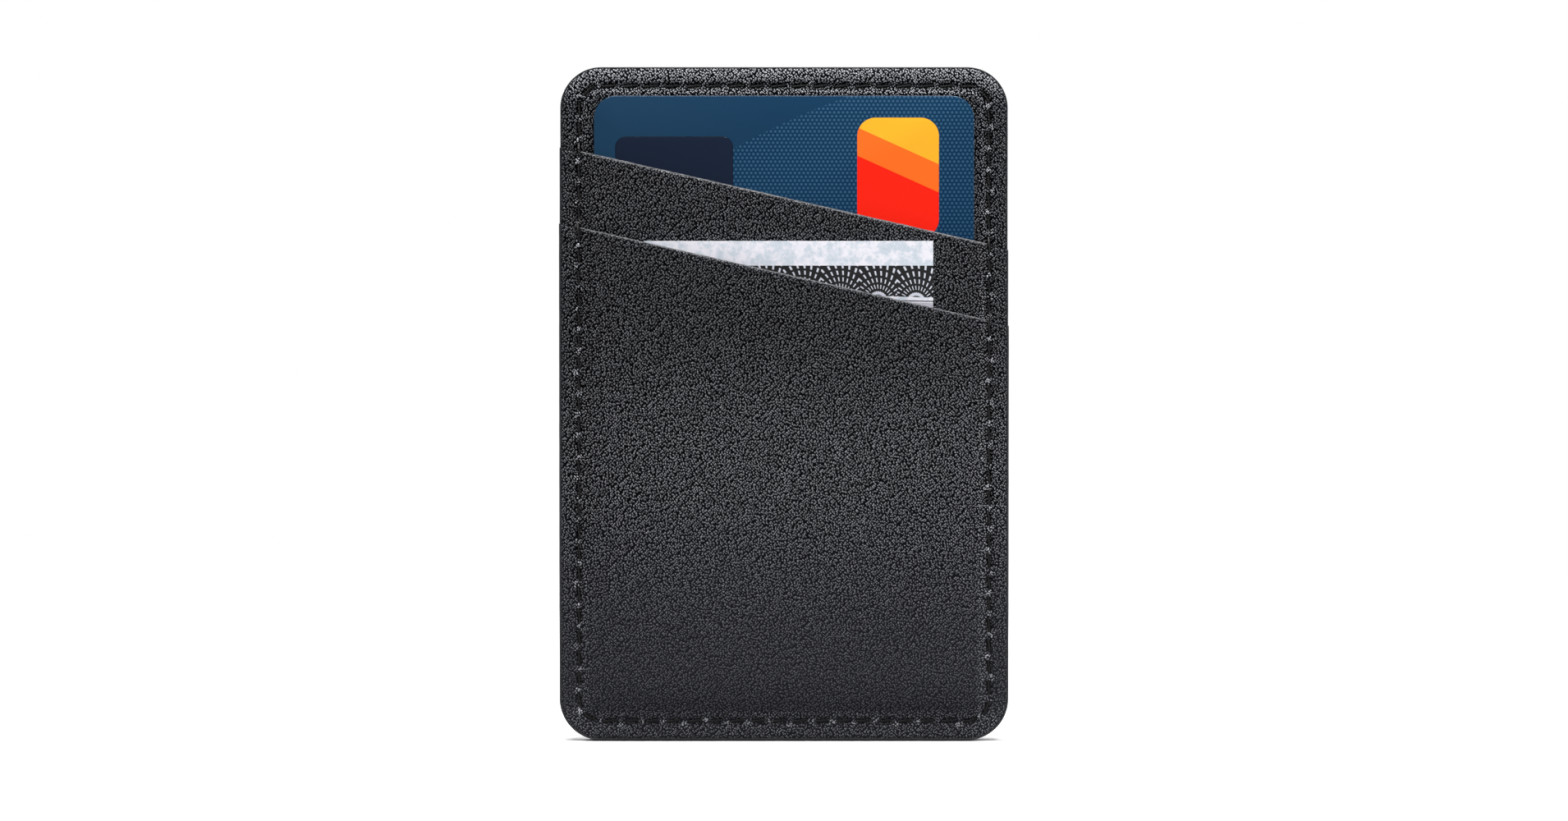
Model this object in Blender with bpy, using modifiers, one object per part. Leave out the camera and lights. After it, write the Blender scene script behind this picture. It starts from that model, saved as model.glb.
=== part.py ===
"""A stick-on card holder: two slanted leather pockets sewn to a stiffened back plate.

Run it with: blender --background --python part.py, or from Blender's text editor.

The pieces are drawn as on a bench, lying on their back: x to the right, y up the
holder and z towards the reader, with z = 0 on the outer face of the release liner.
The empty "upright" then stands the holder up, so that it faces -Y with its top at +Z.
"""

import math

import bmesh
import bpy

MM = 0.001

# The outline of the holder
WIDTH = 64.0 * MM
HEIGHT = 96.0 * MM
CORNER_RADIUS = 6.0 * MM
EDGE_PAINT = 0.15 * MM
ARC_STEPS = 6

# The layers, back to front, with the thin gap that stands for each glue line
GLUE_LINE = 0.03 * MM
LINER_THICKNESS = 0.12 * MM
ADHESIVE_THICKNESS = 0.35 * MM
REAR_COVER_THICKNESS = 0.65 * MM
BOARD_THICKNESS = 0.65 * MM
BACKING_THICKNESS = 0.70 * MM
LINING_THICKNESS = 0.15 * MM
POCKET_THICKNESS = 0.65 * MM
FIT_GAP = 0.12 * MM

# The pocket mouths: how far below the top each starts at the left edge, and their slope
MIDDLE_MOUTH_DROP = 11.6 * MM
FRONT_MOUTH_DROP = 22.4 * MM
MOUTH_SLOPE = math.tan(math.radians(12.8))
LINING_PROUD = 0.25 * MM

# The seam that runs round the holder
SEAM_INSET = 2.85 * MM
STITCH_PITCH = 3.0 * MM
SAMPLES_PER_STITCH = 3
THREAD_RADIUS = 0.17 * MM
CROWN_DEPTH = 0.11 * MM
DIP_DEPTH = 0.26 * MM
GROOVE_DEPTH = 0.19 * MM
GROOVE_RADIUS = 0.31 * MM
CLIMB_START = 1.4 * MM
CLIMB_END = 0.4 * MM

# How far inside the seam each pocket starts to rise, and where it is fully raised
RISE_START = 0.5 * MM
CARD_RISE_END = 2.1 * MM
NOTE_RISE_END = 6.0 * MM

# An ID-1 card and what is set into it
CARD_WIDTH = 53.98 * MM
CARD_HEIGHT = 85.60 * MM
CARD_THICKNESS = 0.76 * MM
CARD_RADIUS = 3.18 * MM
CARD_DROP = 4.3 * MM
CARD_BACK_GAP = 0.15 * MM
INLAY_GAP = 0.03 * MM
CHIP_SIZE = (11.8 * MM, 13.0 * MM)
CHIP_CENTRE = (-3.1 * MM, -27.3 * MM)
CHIP_THICKNESS = 0.5 * MM
SENSOR_SIZE = (16.7 * MM, 14.0 * MM)
SENSOR_CENTRE = (-15.6 * MM, 30.0 * MM)
SENSOR_THICKNESS = 0.5 * MM
FOIL_THICKNESS = 0.04 * MM
STRIPE_WIDTH = 12.7 * MM
STRIPE_X = -15.1 * MM
SIGNATURE_SIZE = (10.0 * MM, 60.0 * MM)

# A banknote of 123 x 62 mm, folded in three
NOTE_FOLD_WIDTH = 41.0 * MM
NOTE_HEIGHT = 62.0 * MM
NOTE_DROP = 24.9 * MM
NOTE_X = 0.65 * MM
PAPER_THICKNESS = 0.12 * MM
FOLD_PITCH = 0.18 * MM
FOLD_STEPS = 4

# The adhesive and the liner that covers it
ADHESIVE_SIZE = (52.0 * MM, 84.0 * MM)
ADHESIVE_RADIUS = 4.0 * MM
LINER_OVERHANG = 1.0 * MM
TAB_SIZE = (14.0 * MM, 9.0 * MM)
TAB_X = 14.0 * MM
TAB_REACH = 3.5 * MM

# Depths that follow from the layers
ADHESIVE_BACK = LINER_THICKNESS + GLUE_LINE
REAR_COVER_BACK = ADHESIVE_BACK + ADHESIVE_THICKNESS + GLUE_LINE
BOARD_BACK = REAR_COVER_BACK + REAR_COVER_THICKNESS + GLUE_LINE
BACKING_BACK = BOARD_BACK + BOARD_THICKNESS + GLUE_LINE
BACKING_FRONT = BACKING_BACK + BACKING_THICKNESS
POCKET_STEP = LINING_THICKNESS + POCKET_THICKNESS + 2 * GLUE_LINE
CARD_BACK = BACKING_FRONT + CARD_BACK_GAP
CARD_FRONT = CARD_BACK + CARD_THICKNESS
NOTE_THICKNESS = PAPER_THICKNESS + 2 * FOLD_PITCH
CARD_RISE = CARD_BACK_GAP + CARD_THICKNESS + FIT_GAP - GLUE_LINE
NOTE_RISE = 2 * FIT_GAP + NOTE_THICKNESS - GLUE_LINE
NOTE_BACK = BACKING_FRONT + POCKET_STEP + CARD_RISE + FIT_GAP
CARD_CENTRE_Y = HEIGHT / 2 - CARD_DROP - CARD_HEIGHT / 2
NOTE_CENTRE_Y = HEIGHT / 2 - NOTE_DROP - NOTE_HEIGHT / 2
LAYER_INSET = EDGE_PAINT + GLUE_LINE
LINER_SIZE = tuple(side + 2 * LINER_OVERHANG for side in ADHESIVE_SIZE)

# ---------------------------------------------------------------- scene and materials


def clear_scene():
    for obj in list(bpy.data.objects):
        bpy.data.objects.remove(obj)


def new_collection(name):
    collection = bpy.data.collections.new(name)
    bpy.context.scene.collection.children.link(collection)
    return collection


def new_material(name, colour, roughness, metallic=0.0):
    material = bpy.data.materials.new(name)
    material.use_nodes = True
    shader = material.node_tree.nodes["Principled BSDF"]
    shader.inputs["Base Color"].default_value = (*colour, 1.0)
    shader.inputs["Roughness"].default_value = roughness
    shader.inputs["Metallic"].default_value = metallic
    return material


def new_empty(name, parent=None, location=(0.0, 0.0, 0.0)):
    empty = bpy.data.objects.new(name, None)
    empty.empty_display_size = 10 * MM
    empty.location = location
    empty.parent = parent
    PARTS.objects.link(empty)
    return empty


# ---------------------------------------------------------------- outlines


def arc(centre, radius, start_deg, end_deg, steps=ARC_STEPS):
    """Points along an arc, both ends included."""
    points = []
    for i in range(steps + 1):
        angle = math.radians(start_deg + (end_deg - start_deg) * i / steps)
        x = centre[0] + radius * math.cos(angle)
        y = centre[1] + radius * math.sin(angle)
        points.append((x, y))
    return points


def rounded_rectangle(width, height, radius, centre=(0.0, 0.0)):
    """The outline of a rectangle with round corners, anticlockwise from the right side."""
    x = width / 2 - radius
    y = height / 2 - radius
    corners = ((x, y, 0), (-x, y, 90), (-x, -y, 180), (x, -y, 270))
    points = []
    for corner_x, corner_y, start in corners:
        middle = (centre[0] + corner_x, centre[1] + corner_y)
        points += arc(middle, radius, start, start + 90)
    return points


def mouth_height(drop, x):
    """Where a pocket's mouth is at x, for a mouth that starts this far below the top."""
    return HEIGHT / 2 - drop - (x + WIDTH / 2) * MOUTH_SLOPE


def pocket_outline(drop, inset):
    """Round at the bottom corners, and cut along the slanted mouth at the top."""
    side = WIDTH / 2 - inset
    bottom = -HEIGHT / 2 + inset
    radius = CORNER_RADIUS - inset
    points = arc((-side + radius, bottom + radius), radius, 180, 270)
    points += arc((side - radius, bottom + radius), radius, 270, 360)
    points.append((side, mouth_height(drop, side)))
    points.append((-side, mouth_height(drop, -side)))
    return points


def above_mouth_outline(drop):
    """Everything above a pocket's mouth, with room to spare on its other three sides."""
    side = WIDTH / 2 + 5 * MM
    top = HEIGHT / 2 + 5 * MM
    return [
        (-side, mouth_height(drop, -side)),
        (side, mouth_height(drop, side)),
        (side, top),
        (-side, top),
    ]


# ---------------------------------------------------------------- making solids


def mesh_from_curve(curve_object, collection):
    """Turns a curve object into a closed mesh object with the same name and place."""
    graph = bpy.context.evaluated_depsgraph_get()
    mesh = bpy.data.meshes.new_from_object(curve_object.evaluated_get(graph))
    work = bmesh.new()
    work.from_mesh(mesh)
    bmesh.ops.remove_doubles(work, verts=work.verts, dist=0.002 * MM)
    bmesh.ops.recalc_face_normals(work, faces=work.faces)
    work.to_mesh(mesh)
    work.free()
    name = curve_object.name
    matrix = curve_object.matrix_world.copy()
    bpy.data.objects.remove(curve_object)
    made = bpy.data.objects.new(name, mesh)
    made.matrix_world = matrix
    collection.objects.link(made)
    return made


def sheet(name, outline, back, thickness, collection=None):
    """A flat sheet of this outline, from depth back to back + thickness."""
    collection = collection or PARTS
    curve = bpy.data.curves.new(name, "CURVE")
    curve.dimensions = "2D"
    curve.fill_mode = "BOTH"
    curve.extrude = thickness / 2
    spline = curve.splines.new("POLY")
    spline.points.add(len(outline) - 1)
    for point, (x, y) in zip(spline.points, outline):
        point.co = (x, y, 0.0, 1.0)
    spline.use_cyclic_u = True
    made = bpy.data.objects.new(name, curve)
    made.location.z = back + thickness / 2
    collection.objects.link(made)
    bpy.context.view_layer.update()
    return mesh_from_curve(made, collection)


def cutter(name, outline, back, thickness):
    made = sheet(name, outline, back, thickness, CUTTERS)
    return as_cutter(made)


def as_cutter(made):
    made.hide_render = True
    made.display_type = "WIRE"
    made.parent = UPRIGHT
    return made


def boolean(target, other, operation):
    modifier = target.modifiers.new(f"{operation.lower()}_{other.name}", "BOOLEAN")
    modifier.operation = operation
    modifier.object = other
    modifier.solver = "EXACT"


def finish_part(made, parent, material):
    """Hangs a part on its empty, keeping the place it was drawn in, and paints it."""
    offset = parent.location if parent is not UPRIGHT else (0.0, 0.0, 0.0)
    made.parent = parent
    for axis in range(3):
        made.location[axis] -= offset[axis]
    made.data.materials.append(material)
    return made


# ---------------------------------------------------------------- the seam


def seam_length():
    radius = CORNER_RADIUS - SEAM_INSET
    straight = (WIDTH - 2 * CORNER_RADIUS) + (HEIGHT - 2 * CORNER_RADIUS)
    return 2 * straight + 2 * math.pi * radius


def seam_point(distance):
    """The point this far along the seam, anticlockwise from the foot of the right side."""
    radius = CORNER_RADIUS - SEAM_INSET
    half_width = WIDTH / 2 - CORNER_RADIUS
    half_height = HEIGHT / 2 - CORNER_RADIUS
    quarter = math.pi * radius / 2
    corners = ((1, 1, 0), (-1, 1, 90), (-1, -1, 180), (1, -1, 270))
    for index, (side_x, side_y, start) in enumerate(corners):
        run = 2 * (half_height if index % 2 == 0 else half_width)
        direction = math.radians(start)
        centre_x = side_x * half_width
        centre_y = side_y * half_height
        if distance <= run:
            back = run - distance
            x = centre_x + radius * math.cos(direction) + back * math.sin(direction)
            y = centre_y + radius * math.sin(direction) - back * math.cos(direction)
            return x, y
        distance -= run
        if distance <= quarter:
            angle = direction + distance / radius
            x = centre_x + radius * math.cos(angle)
            y = centre_y + radius * math.sin(angle)
            return x, y
        distance -= quarter
    return seam_point(0.0)


def seam_surface(x, y):
    """Depth of the leather that the front seam lies on, climbing onto each pocket at its mouth."""
    level = BACKING_FRONT
    for drop in (MIDDLE_MOUTH_DROP, FRONT_MOUTH_DROP):
        above = y - mouth_height(drop, x)
        climb = (CLIMB_START - above) / (CLIMB_START - CLIMB_END)
        level += POCKET_STEP * min(1.0, max(0.0, climb))
    return level


def groove_path():
    """The line the front seam's groove follows: arcs at the corners, and a climb at each mouth."""
    radius = CORNER_RADIUS - SEAM_INSET
    side = WIDTH / 2 - SEAM_INSET
    heights = []
    for drop in (MIDDLE_MOUTH_DROP, FRONT_MOUTH_DROP):
        heights += [(drop, CLIMB_START), (drop, CLIMB_END)]
    left = [(-side, mouth_height(drop, -side) + climb) for drop, climb in heights]
    right = [(side, mouth_height(drop, side) + climb) for drop, climb in heights]
    outline = rounded_rectangle(WIDTH - 2 * SEAM_INSET, HEIGHT - 2 * SEAM_INSET, radius)
    corner = ARC_STEPS + 1
    plan = right[::-1] + outline[: 2 * corner] + left + outline[2 * corner :]
    return [(x, y, seam_surface(x, y) - GROOVE_DEPTH) for x, y in plan]


def stitch_path(front):
    """A closed thread that lies on the leather and dips once a stitch, where the needle went."""
    stitches = round(seam_length() / STITCH_PITCH)
    count = stitches * SAMPLES_PER_STITCH
    points = []
    for index in range(count):
        x, y = seam_point(seam_length() * index / count)
        sunk = DIP_DEPTH if index % SAMPLES_PER_STITCH == 0 else CROWN_DEPTH
        if front:
            points.append((x, y, seam_surface(x, y) - sunk))
        else:
            points.append((x, y, REAR_COVER_BACK + sunk))
    return points


def wire_loop(name, path, radius, bevel_resolution, collection):
    curve = bpy.data.curves.new(name, "CURVE")
    curve.dimensions = "3D"
    curve.bevel_depth = radius
    curve.bevel_resolution = bevel_resolution
    spline = curve.splines.new("POLY")
    spline.points.add(len(path) - 1)
    for point, place in zip(spline.points, path):
        point.co = (*place, 1.0)
    spline.use_cyclic_u = True
    made = bpy.data.objects.new(name, curve)
    collection.objects.link(made)
    bpy.context.view_layer.update()
    return made


# ---------------------------------------------------------------- the pockets


def smooth_step(value):
    value = min(1.0, max(0.0, value))
    return value * value * (3 - 2 * value)


def rise(inside, end):
    """0 at the seam and 1 where a pocket is fully raised, for a distance inside the seam."""
    return smooth_step((inside - RISE_START) / (end - RISE_START))


def pocket_lift(x, y, lifts):
    """How far a pocket stands off its border at a point, raised at both sides and the bottom."""
    from_side = WIDTH / 2 - SEAM_INSET - abs(x)
    from_bottom = y + HEIGHT / 2 - SEAM_INSET
    total = 0.0
    for height, end in lifts:
        total += height * rise(from_side, end) * rise(from_bottom, end)
    return total


def pocket_sheet(name, drop, back, thickness, lifts):
    """A leather or lining sheet: flat along the seam, raised inside it, and open at its mouth."""
    insides = [RISE_START, 0.9 * MM, 1.3 * MM, 1.7 * MM]
    insides += [CARD_RISE_END, 3.4 * MM, 4.7 * MM, NOTE_RISE_END]
    spare = 1.0 * MM
    seam_x = WIDTH / 2 - SEAM_INSET
    seam_y = -HEIGHT / 2 + SEAM_INSET
    right = [seam_x - inside for inside in insides]
    columns = sorted([-x for x in right] + right + [-WIDTH / 2 - spare, WIDTH / 2 + spare])
    rows = [-HEIGHT / 2 - spare] + [seam_y + inside for inside in insides] + [HEIGHT / 2]
    work = bmesh.new()
    bmesh.ops.create_grid(
        work, x_segments=len(columns) - 1, y_segments=len(rows) - 1, size=1.0
    )
    for vertex in work.verts:
        column = round((vertex.co.x + 1) / 2 * (len(columns) - 1))
        row = round((vertex.co.y + 1) / 2 * (len(rows) - 1))
        x = columns[column]
        y = rows[row]
        vertex.co = (x, y, back + pocket_lift(x, y, lifts))
    pulled = bmesh.ops.extrude_face_region(work, geom=work.faces[:])
    top = [item for item in pulled["geom"] if isinstance(item, bmesh.types.BMVert)]
    bmesh.ops.translate(work, verts=top, vec=(0.0, 0.0, thickness))
    bmesh.ops.recalc_face_normals(work, faces=work.faces)
    mesh = bpy.data.meshes.new(name)
    work.to_mesh(mesh)
    work.free()
    made = bpy.data.objects.new(name, mesh)
    PARTS.objects.link(made)
    outline = cutter(
        f"{name}_outline", pocket_outline(drop, LAYER_INSET), -MM, 12 * MM
    )
    boolean(made, outline, "INTERSECT")
    return made


def build_pocket(name, drop, border_back, lifts, groove):
    """A lining and a leather panel over it; the lining's cut edge shows along the mouth."""
    lining = pocket_sheet(
        f"{name}_pocket_lining", drop - LINING_PROUD, border_back, LINING_THICKNESS, lifts
    )
    leather_back = border_back + LINING_THICKNESS + GLUE_LINE
    leather = pocket_sheet(
        f"{name}_pocket_panel", drop, leather_back, POCKET_THICKNESS, lifts
    )
    boolean(leather, groove, "DIFFERENCE")
    finish_part(lining, UPRIGHT, MATERIALS["lining"])
    finish_part(leather, UPRIGHT, MATERIALS["leather"])


# ---------------------------------------------------------------- the back plate


def layer_outline():
    return rounded_rectangle(
        WIDTH - 2 * LAYER_INSET, HEIGHT - 2 * LAYER_INSET, CORNER_RADIUS - LAYER_INSET
    )


def build_back_plate(front_groove):
    rear_path = []
    radius = CORNER_RADIUS - SEAM_INSET
    plan = rounded_rectangle(WIDTH - 2 * SEAM_INSET, HEIGHT - 2 * SEAM_INSET, radius)
    for x, y in plan:
        rear_path.append((x, y, REAR_COVER_BACK + GROOVE_DEPTH))
    rear_groove = wire_loop("rear_groove", rear_path, GROOVE_RADIUS, 2, CUTTERS)
    rear_groove = as_cutter(mesh_from_curve(rear_groove, CUTTERS))

    cover = sheet("rear_cover", layer_outline(), REAR_COVER_BACK, REAR_COVER_THICKNESS)
    boolean(cover, rear_groove, "DIFFERENCE")
    finish_part(cover, UPRIGHT, MATERIALS["leather"])

    board = sheet("stiffener_board", layer_outline(), BOARD_BACK, BOARD_THICKNESS)
    finish_part(board, UPRIGHT, MATERIALS["board"])

    backing = sheet("backing_panel", layer_outline(), BACKING_BACK, BACKING_THICKNESS)
    boolean(backing, front_groove, "DIFFERENCE")
    finish_part(backing, UPRIGHT, MATERIALS["leather"])


def build_edge_paint():
    """A painted band round the cut edges, stepped where each pocket's layers end."""
    outer = rounded_rectangle(WIDTH, HEIGHT, CORNER_RADIUS)
    inner = rounded_rectangle(
        WIDTH - 2 * EDGE_PAINT, HEIGHT - 2 * EDGE_PAINT, CORNER_RADIUS - EDGE_PAINT
    )
    lip = 0.04 * MM
    back = REAR_COVER_BACK + lip
    fronts = [BACKING_FRONT + step * POCKET_STEP - lip for step in range(3)]
    band = sheet("edge_paint", outer, back, fronts[2] - back)
    boolean(band, cutter("edge_paint_inside", inner, -MM, 12 * MM), "DIFFERENCE")
    steps = ((MIDDLE_MOUTH_DROP, fronts[0]), (FRONT_MOUTH_DROP, fronts[1]))
    for index, (drop, level) in enumerate(steps):
        name = f"edge_paint_step_{index + 1}"
        step = cutter(name, above_mouth_outline(drop), level, 10 * MM)
        boolean(band, step, "DIFFERENCE")
    finish_part(band, UPRIGHT, MATERIALS["edge_paint"])


def build_threads():
    needle = wire_loop("needle_thread", stitch_path(True), THREAD_RADIUS, 0, PARTS)
    finish_part(needle, UPRIGHT, MATERIALS["thread"])
    bobbin = wire_loop("bobbin_thread", stitch_path(False), THREAD_RADIUS, 0, PARTS)
    finish_part(bobbin, UPRIGHT, MATERIALS["thread"])


def build_adhesive_and_liner():
    pad_outline = rounded_rectangle(*ADHESIVE_SIZE, ADHESIVE_RADIUS)
    pad = sheet("adhesive_pad", pad_outline, ADHESIVE_BACK, ADHESIVE_THICKNESS)
    finish_part(pad, UPRIGHT, MATERIALS["adhesive"])

    liner_outline = rounded_rectangle(*LINER_SIZE, ADHESIVE_RADIUS + LINER_OVERHANG)
    liner = sheet("release_liner", liner_outline, 0.0, LINER_THICKNESS)
    tab_centre_y = -LINER_SIZE[1] / 2 - TAB_REACH + TAB_SIZE[1] / 2
    tab_outline = rounded_rectangle(*TAB_SIZE, 3 * MM, (TAB_X, tab_centre_y))
    tab = cutter("liner_tab", tab_outline, 0.0, LINER_THICKNESS)
    boolean(liner, tab, "UNION")
    hinge = new_empty(
        "liner_hinge", UPRIGHT, (0.0, LINER_SIZE[1] / 2, LINER_THICKNESS)
    )
    finish_part(liner, hinge, MATERIALS["liner"])


# ---------------------------------------------------------------- what the pockets hold


def inlay(name, size, radius, centre, thickness, card, parent, material):
    """A plate let into the card's face, flush with it, with its milled cavity."""
    middle = (centre[0], CARD_CENTRE_Y + centre[1])
    cavity_size = [side + 2 * INLAY_GAP for side in size]
    cavity = cutter(
        f"{name}_cavity",
        rounded_rectangle(*cavity_size, radius + INLAY_GAP, middle),
        CARD_FRONT - thickness - INLAY_GAP,
        MM,
    )
    boolean(card, cavity, "DIFFERENCE")
    plate_outline = rounded_rectangle(*size, radius, middle)
    plate = sheet(name, plate_outline, CARD_FRONT - thickness, thickness)
    finish_part(plate, parent, material)


def build_card():
    slide = new_empty("card_slide", UPRIGHT, (0.0, CARD_CENTRE_Y, CARD_BACK))
    middle = (0.0, CARD_CENTRE_Y)
    outline = rounded_rectangle(CARD_WIDTH, CARD_HEIGHT, CARD_RADIUS, middle)
    card = sheet("card_body", outline, CARD_BACK, CARD_THICKNESS)
    inlay(
        "card_chip", CHIP_SIZE, 1.6 * MM, CHIP_CENTRE, CHIP_THICKNESS,
        card, slide, MATERIALS["chip"],
    )
    inlay(
        "card_fingerprint_sensor", SENSOR_SIZE, 1.5 * MM, SENSOR_CENTRE, SENSOR_THICKNESS,
        card, slide, MATERIALS["sensor"],
    )
    finish_part(card, slide, MATERIALS["card"])

    foil_back = CARD_BACK - GLUE_LINE - FOIL_THICKNESS
    stripe_height = CARD_HEIGHT - 0.4 * MM
    stripe_outline = rounded_rectangle(
        STRIPE_WIDTH, stripe_height, 0.3 * MM, (STRIPE_X, CARD_CENTRE_Y)
    )
    stripe = sheet("card_magnetic_stripe", stripe_outline, foil_back, FOIL_THICKNESS)
    finish_part(stripe, slide, MATERIALS["stripe"])
    signature_outline = rounded_rectangle(*SIGNATURE_SIZE, 0.5 * MM, middle)
    signature = sheet(
        "card_signature_strip", signature_outline, foil_back, FOIL_THICKNESS
    )
    finish_part(signature, slide, MATERIALS["signature"])


def note_profile():
    """The middle of the paper seen from its end: three plies joined by two half-round folds."""
    half = NOTE_FOLD_WIDTH / 2
    fold = FOLD_PITCH / 2
    reach = half - fold - PAPER_THICKNESS / 2
    back = NOTE_BACK + PAPER_THICKNESS / 2
    points = [(-reach - fold, back)]
    points += arc((reach, back + fold), fold, -90, 90, FOLD_STEPS)
    points += arc((-reach, back + 3 * fold), fold, 270, 90, FOLD_STEPS)
    points.append((half, back + 4 * fold))
    return [(NOTE_X + x, z) for x, z in points]


def build_note():
    slide = new_empty("note_slide", UPRIGHT, (NOTE_X, NOTE_CENTRE_Y, NOTE_BACK))
    work = bmesh.new()
    low = NOTE_CENTRE_Y - NOTE_HEIGHT / 2
    corners = [work.verts.new((x, low, z)) for x, z in note_profile()]
    edges = [work.edges.new(pair) for pair in zip(corners, corners[1:])]
    pulled = bmesh.ops.extrude_edge_only(work, edges=edges)
    top = [item for item in pulled["geom"] if isinstance(item, bmesh.types.BMVert)]
    bmesh.ops.translate(work, verts=top, vec=(0.0, NOTE_HEIGHT, 0.0))
    mesh = bpy.data.meshes.new("folded_banknote")
    work.to_mesh(mesh)
    work.free()
    note = bpy.data.objects.new("folded_banknote", mesh)
    PARTS.objects.link(note)
    solidify = note.modifiers.new("paper", "SOLIDIFY")
    solidify.thickness = PAPER_THICKNESS
    solidify.offset = 0.0
    solidify.use_even_offset = True
    finish_part(note, slide, MATERIALS["note"])


# ---------------------------------------------------------------- the holder

clear_scene()
PARTS = new_collection("card_holder")
CUTTERS = new_collection("cutters")
MATERIALS = {
    "leather": new_material("black_leather", (0.036, 0.037, 0.043), 0.5),
    "board": new_material("fibre_board", (0.30, 0.24, 0.17), 0.9),
    "lining": new_material("lining_fabric", (0.33, 0.33, 0.34), 0.95),
    "edge_paint": new_material("edge_paint", (0.042, 0.044, 0.050), 0.45),
    "thread": new_material("black_thread", (0.010, 0.010, 0.011), 0.6),
    "adhesive": new_material("adhesive", (0.75, 0.74, 0.70), 0.35),
    "liner": new_material("liner_paper", (0.82, 0.76, 0.62), 0.4),
    "card": new_material("card_plastic", (0.016, 0.060, 0.130), 0.3),
    "chip": new_material("chip_contacts", (0.83, 0.62, 0.28), 0.25, 1.0),
    "sensor": new_material("sensor_window", (0.014, 0.021, 0.043), 0.2),
    "stripe": new_material("magnetic_stripe", (0.01, 0.01, 0.01), 0.35),
    "signature": new_material("signature_strip", (0.85, 0.85, 0.82), 0.7),
    "note": new_material("note_paper", (0.68, 0.70, 0.74), 0.85),
}

UPRIGHT = new_empty("upright")

groove_cutter = wire_loop("front_groove", groove_path(), GROOVE_RADIUS, 2, CUTTERS)
groove_cutter = as_cutter(mesh_from_curve(groove_cutter, CUTTERS))

build_back_plate(groove_cutter)
middle_lifts = [(CARD_RISE, CARD_RISE_END)]
front_lifts = middle_lifts + [(NOTE_RISE, NOTE_RISE_END)]
middle_back = BACKING_FRONT + GLUE_LINE
front_back = middle_back + POCKET_STEP
build_pocket("middle", MIDDLE_MOUTH_DROP, middle_back, middle_lifts, groove_cutter)
build_pocket("front", FRONT_MOUTH_DROP, front_back, front_lifts, groove_cutter)
build_edge_paint()
build_threads()
build_adhesive_and_liner()
build_card()
build_note()

UPRIGHT.rotation_euler = (math.pi / 2, 0.0, 0.0)
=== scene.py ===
"""The looks of a stick-on card holder: leather, seam, cut edges, card, banknote and liner.

Everything is in metres, in the holder's own frame: x across, z up, and its front faces -y.
A surface is worked out as a depth: how far a point stands in front of the plane y = 0,
which is the outer face of the release liner.
"""

import math

import bmesh
import bpy
import numpy as np
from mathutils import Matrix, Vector


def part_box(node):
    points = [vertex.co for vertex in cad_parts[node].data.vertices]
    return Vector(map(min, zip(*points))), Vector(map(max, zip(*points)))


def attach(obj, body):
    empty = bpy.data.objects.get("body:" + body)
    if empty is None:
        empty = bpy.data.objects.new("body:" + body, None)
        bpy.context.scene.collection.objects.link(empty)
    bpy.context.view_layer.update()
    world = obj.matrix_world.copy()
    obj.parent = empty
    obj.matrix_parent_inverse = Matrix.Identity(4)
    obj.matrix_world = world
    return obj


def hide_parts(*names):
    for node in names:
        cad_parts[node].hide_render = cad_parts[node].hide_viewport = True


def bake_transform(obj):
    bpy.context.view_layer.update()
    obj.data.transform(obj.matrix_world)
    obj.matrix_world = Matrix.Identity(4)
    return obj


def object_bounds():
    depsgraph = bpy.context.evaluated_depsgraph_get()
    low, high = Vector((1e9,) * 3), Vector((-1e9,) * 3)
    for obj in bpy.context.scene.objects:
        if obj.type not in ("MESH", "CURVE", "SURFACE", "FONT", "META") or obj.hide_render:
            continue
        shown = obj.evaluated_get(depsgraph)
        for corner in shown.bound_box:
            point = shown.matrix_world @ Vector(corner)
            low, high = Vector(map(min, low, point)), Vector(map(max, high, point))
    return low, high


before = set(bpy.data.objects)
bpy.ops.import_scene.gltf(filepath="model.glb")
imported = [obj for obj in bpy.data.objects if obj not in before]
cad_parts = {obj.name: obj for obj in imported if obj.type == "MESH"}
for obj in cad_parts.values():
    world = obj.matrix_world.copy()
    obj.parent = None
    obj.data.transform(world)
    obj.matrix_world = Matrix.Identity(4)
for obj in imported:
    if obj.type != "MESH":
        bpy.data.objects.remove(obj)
CAD_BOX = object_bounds()

MM = 0.001
LOW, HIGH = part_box("edge_paint")
WIDTH = HIGH.x - LOW.x
HEIGHT = HIGH.z - LOW.z
CORNER = 6.0 * MM
SEAM_INSET = 2.85 * MM
MOUTH_ANGLE = math.radians(12.8)
LAYER_INSET = HIGH.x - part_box("rear_cover")[1].x
LEATHER = 0.65 * MM
STITCH_PITCH = 3.0 * MM

# How finely a leather sheet is divided along the seam, and where across it
FINE_STEP = 0.375 * MM
ACROSS_BORDER = MM * np.array(
    [0.18, 0.20, 0.25, 0.33, 0.44, 0.60, 0.85, 1.15, 1.45, 1.70, 1.92, 2.10, 2.25, 2.38]
    + [2.50, 2.62, 2.74, 2.85, 2.96, 3.08, 3.20, 3.32, 3.45, 3.60, 3.78, 3.98, 4.20]
    + [4.45, 4.70, 4.95, 5.30, 5.70, 6.00]
)
NEAR_MOUTH = np.array([1.5, 1.1, 0.8, 0.55, 0.38, 0.25, 0.15, 0.08, 0.03, 0.0]) * MM


def back_of(node):
    return -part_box(node)[1].y


def front_of(node):
    return -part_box(node)[0].y


BORDER_FRONT = front_of("backing_panel")
POCKET_STEP = back_of("front_pocket_panel") - back_of("middle_pocket_panel")
CARD_LIFT = front_of("middle_pocket_panel") - back_of("middle_pocket_panel") - LEATHER
NOTE_LIFT = front_of("front_pocket_panel") - back_of("front_pocket_panel") - LEATHER - CARD_LIFT

# ---- the outline and the seam


def smooth(value):
    """0 below 0, 1 above 1, and an S-shaped rise between."""
    value = np.clip(value, 0.0, 1.0)
    return value * value * (3 - 2 * value)


def bell(value, width):
    return np.exp(-((value / width) ** 2))


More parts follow.
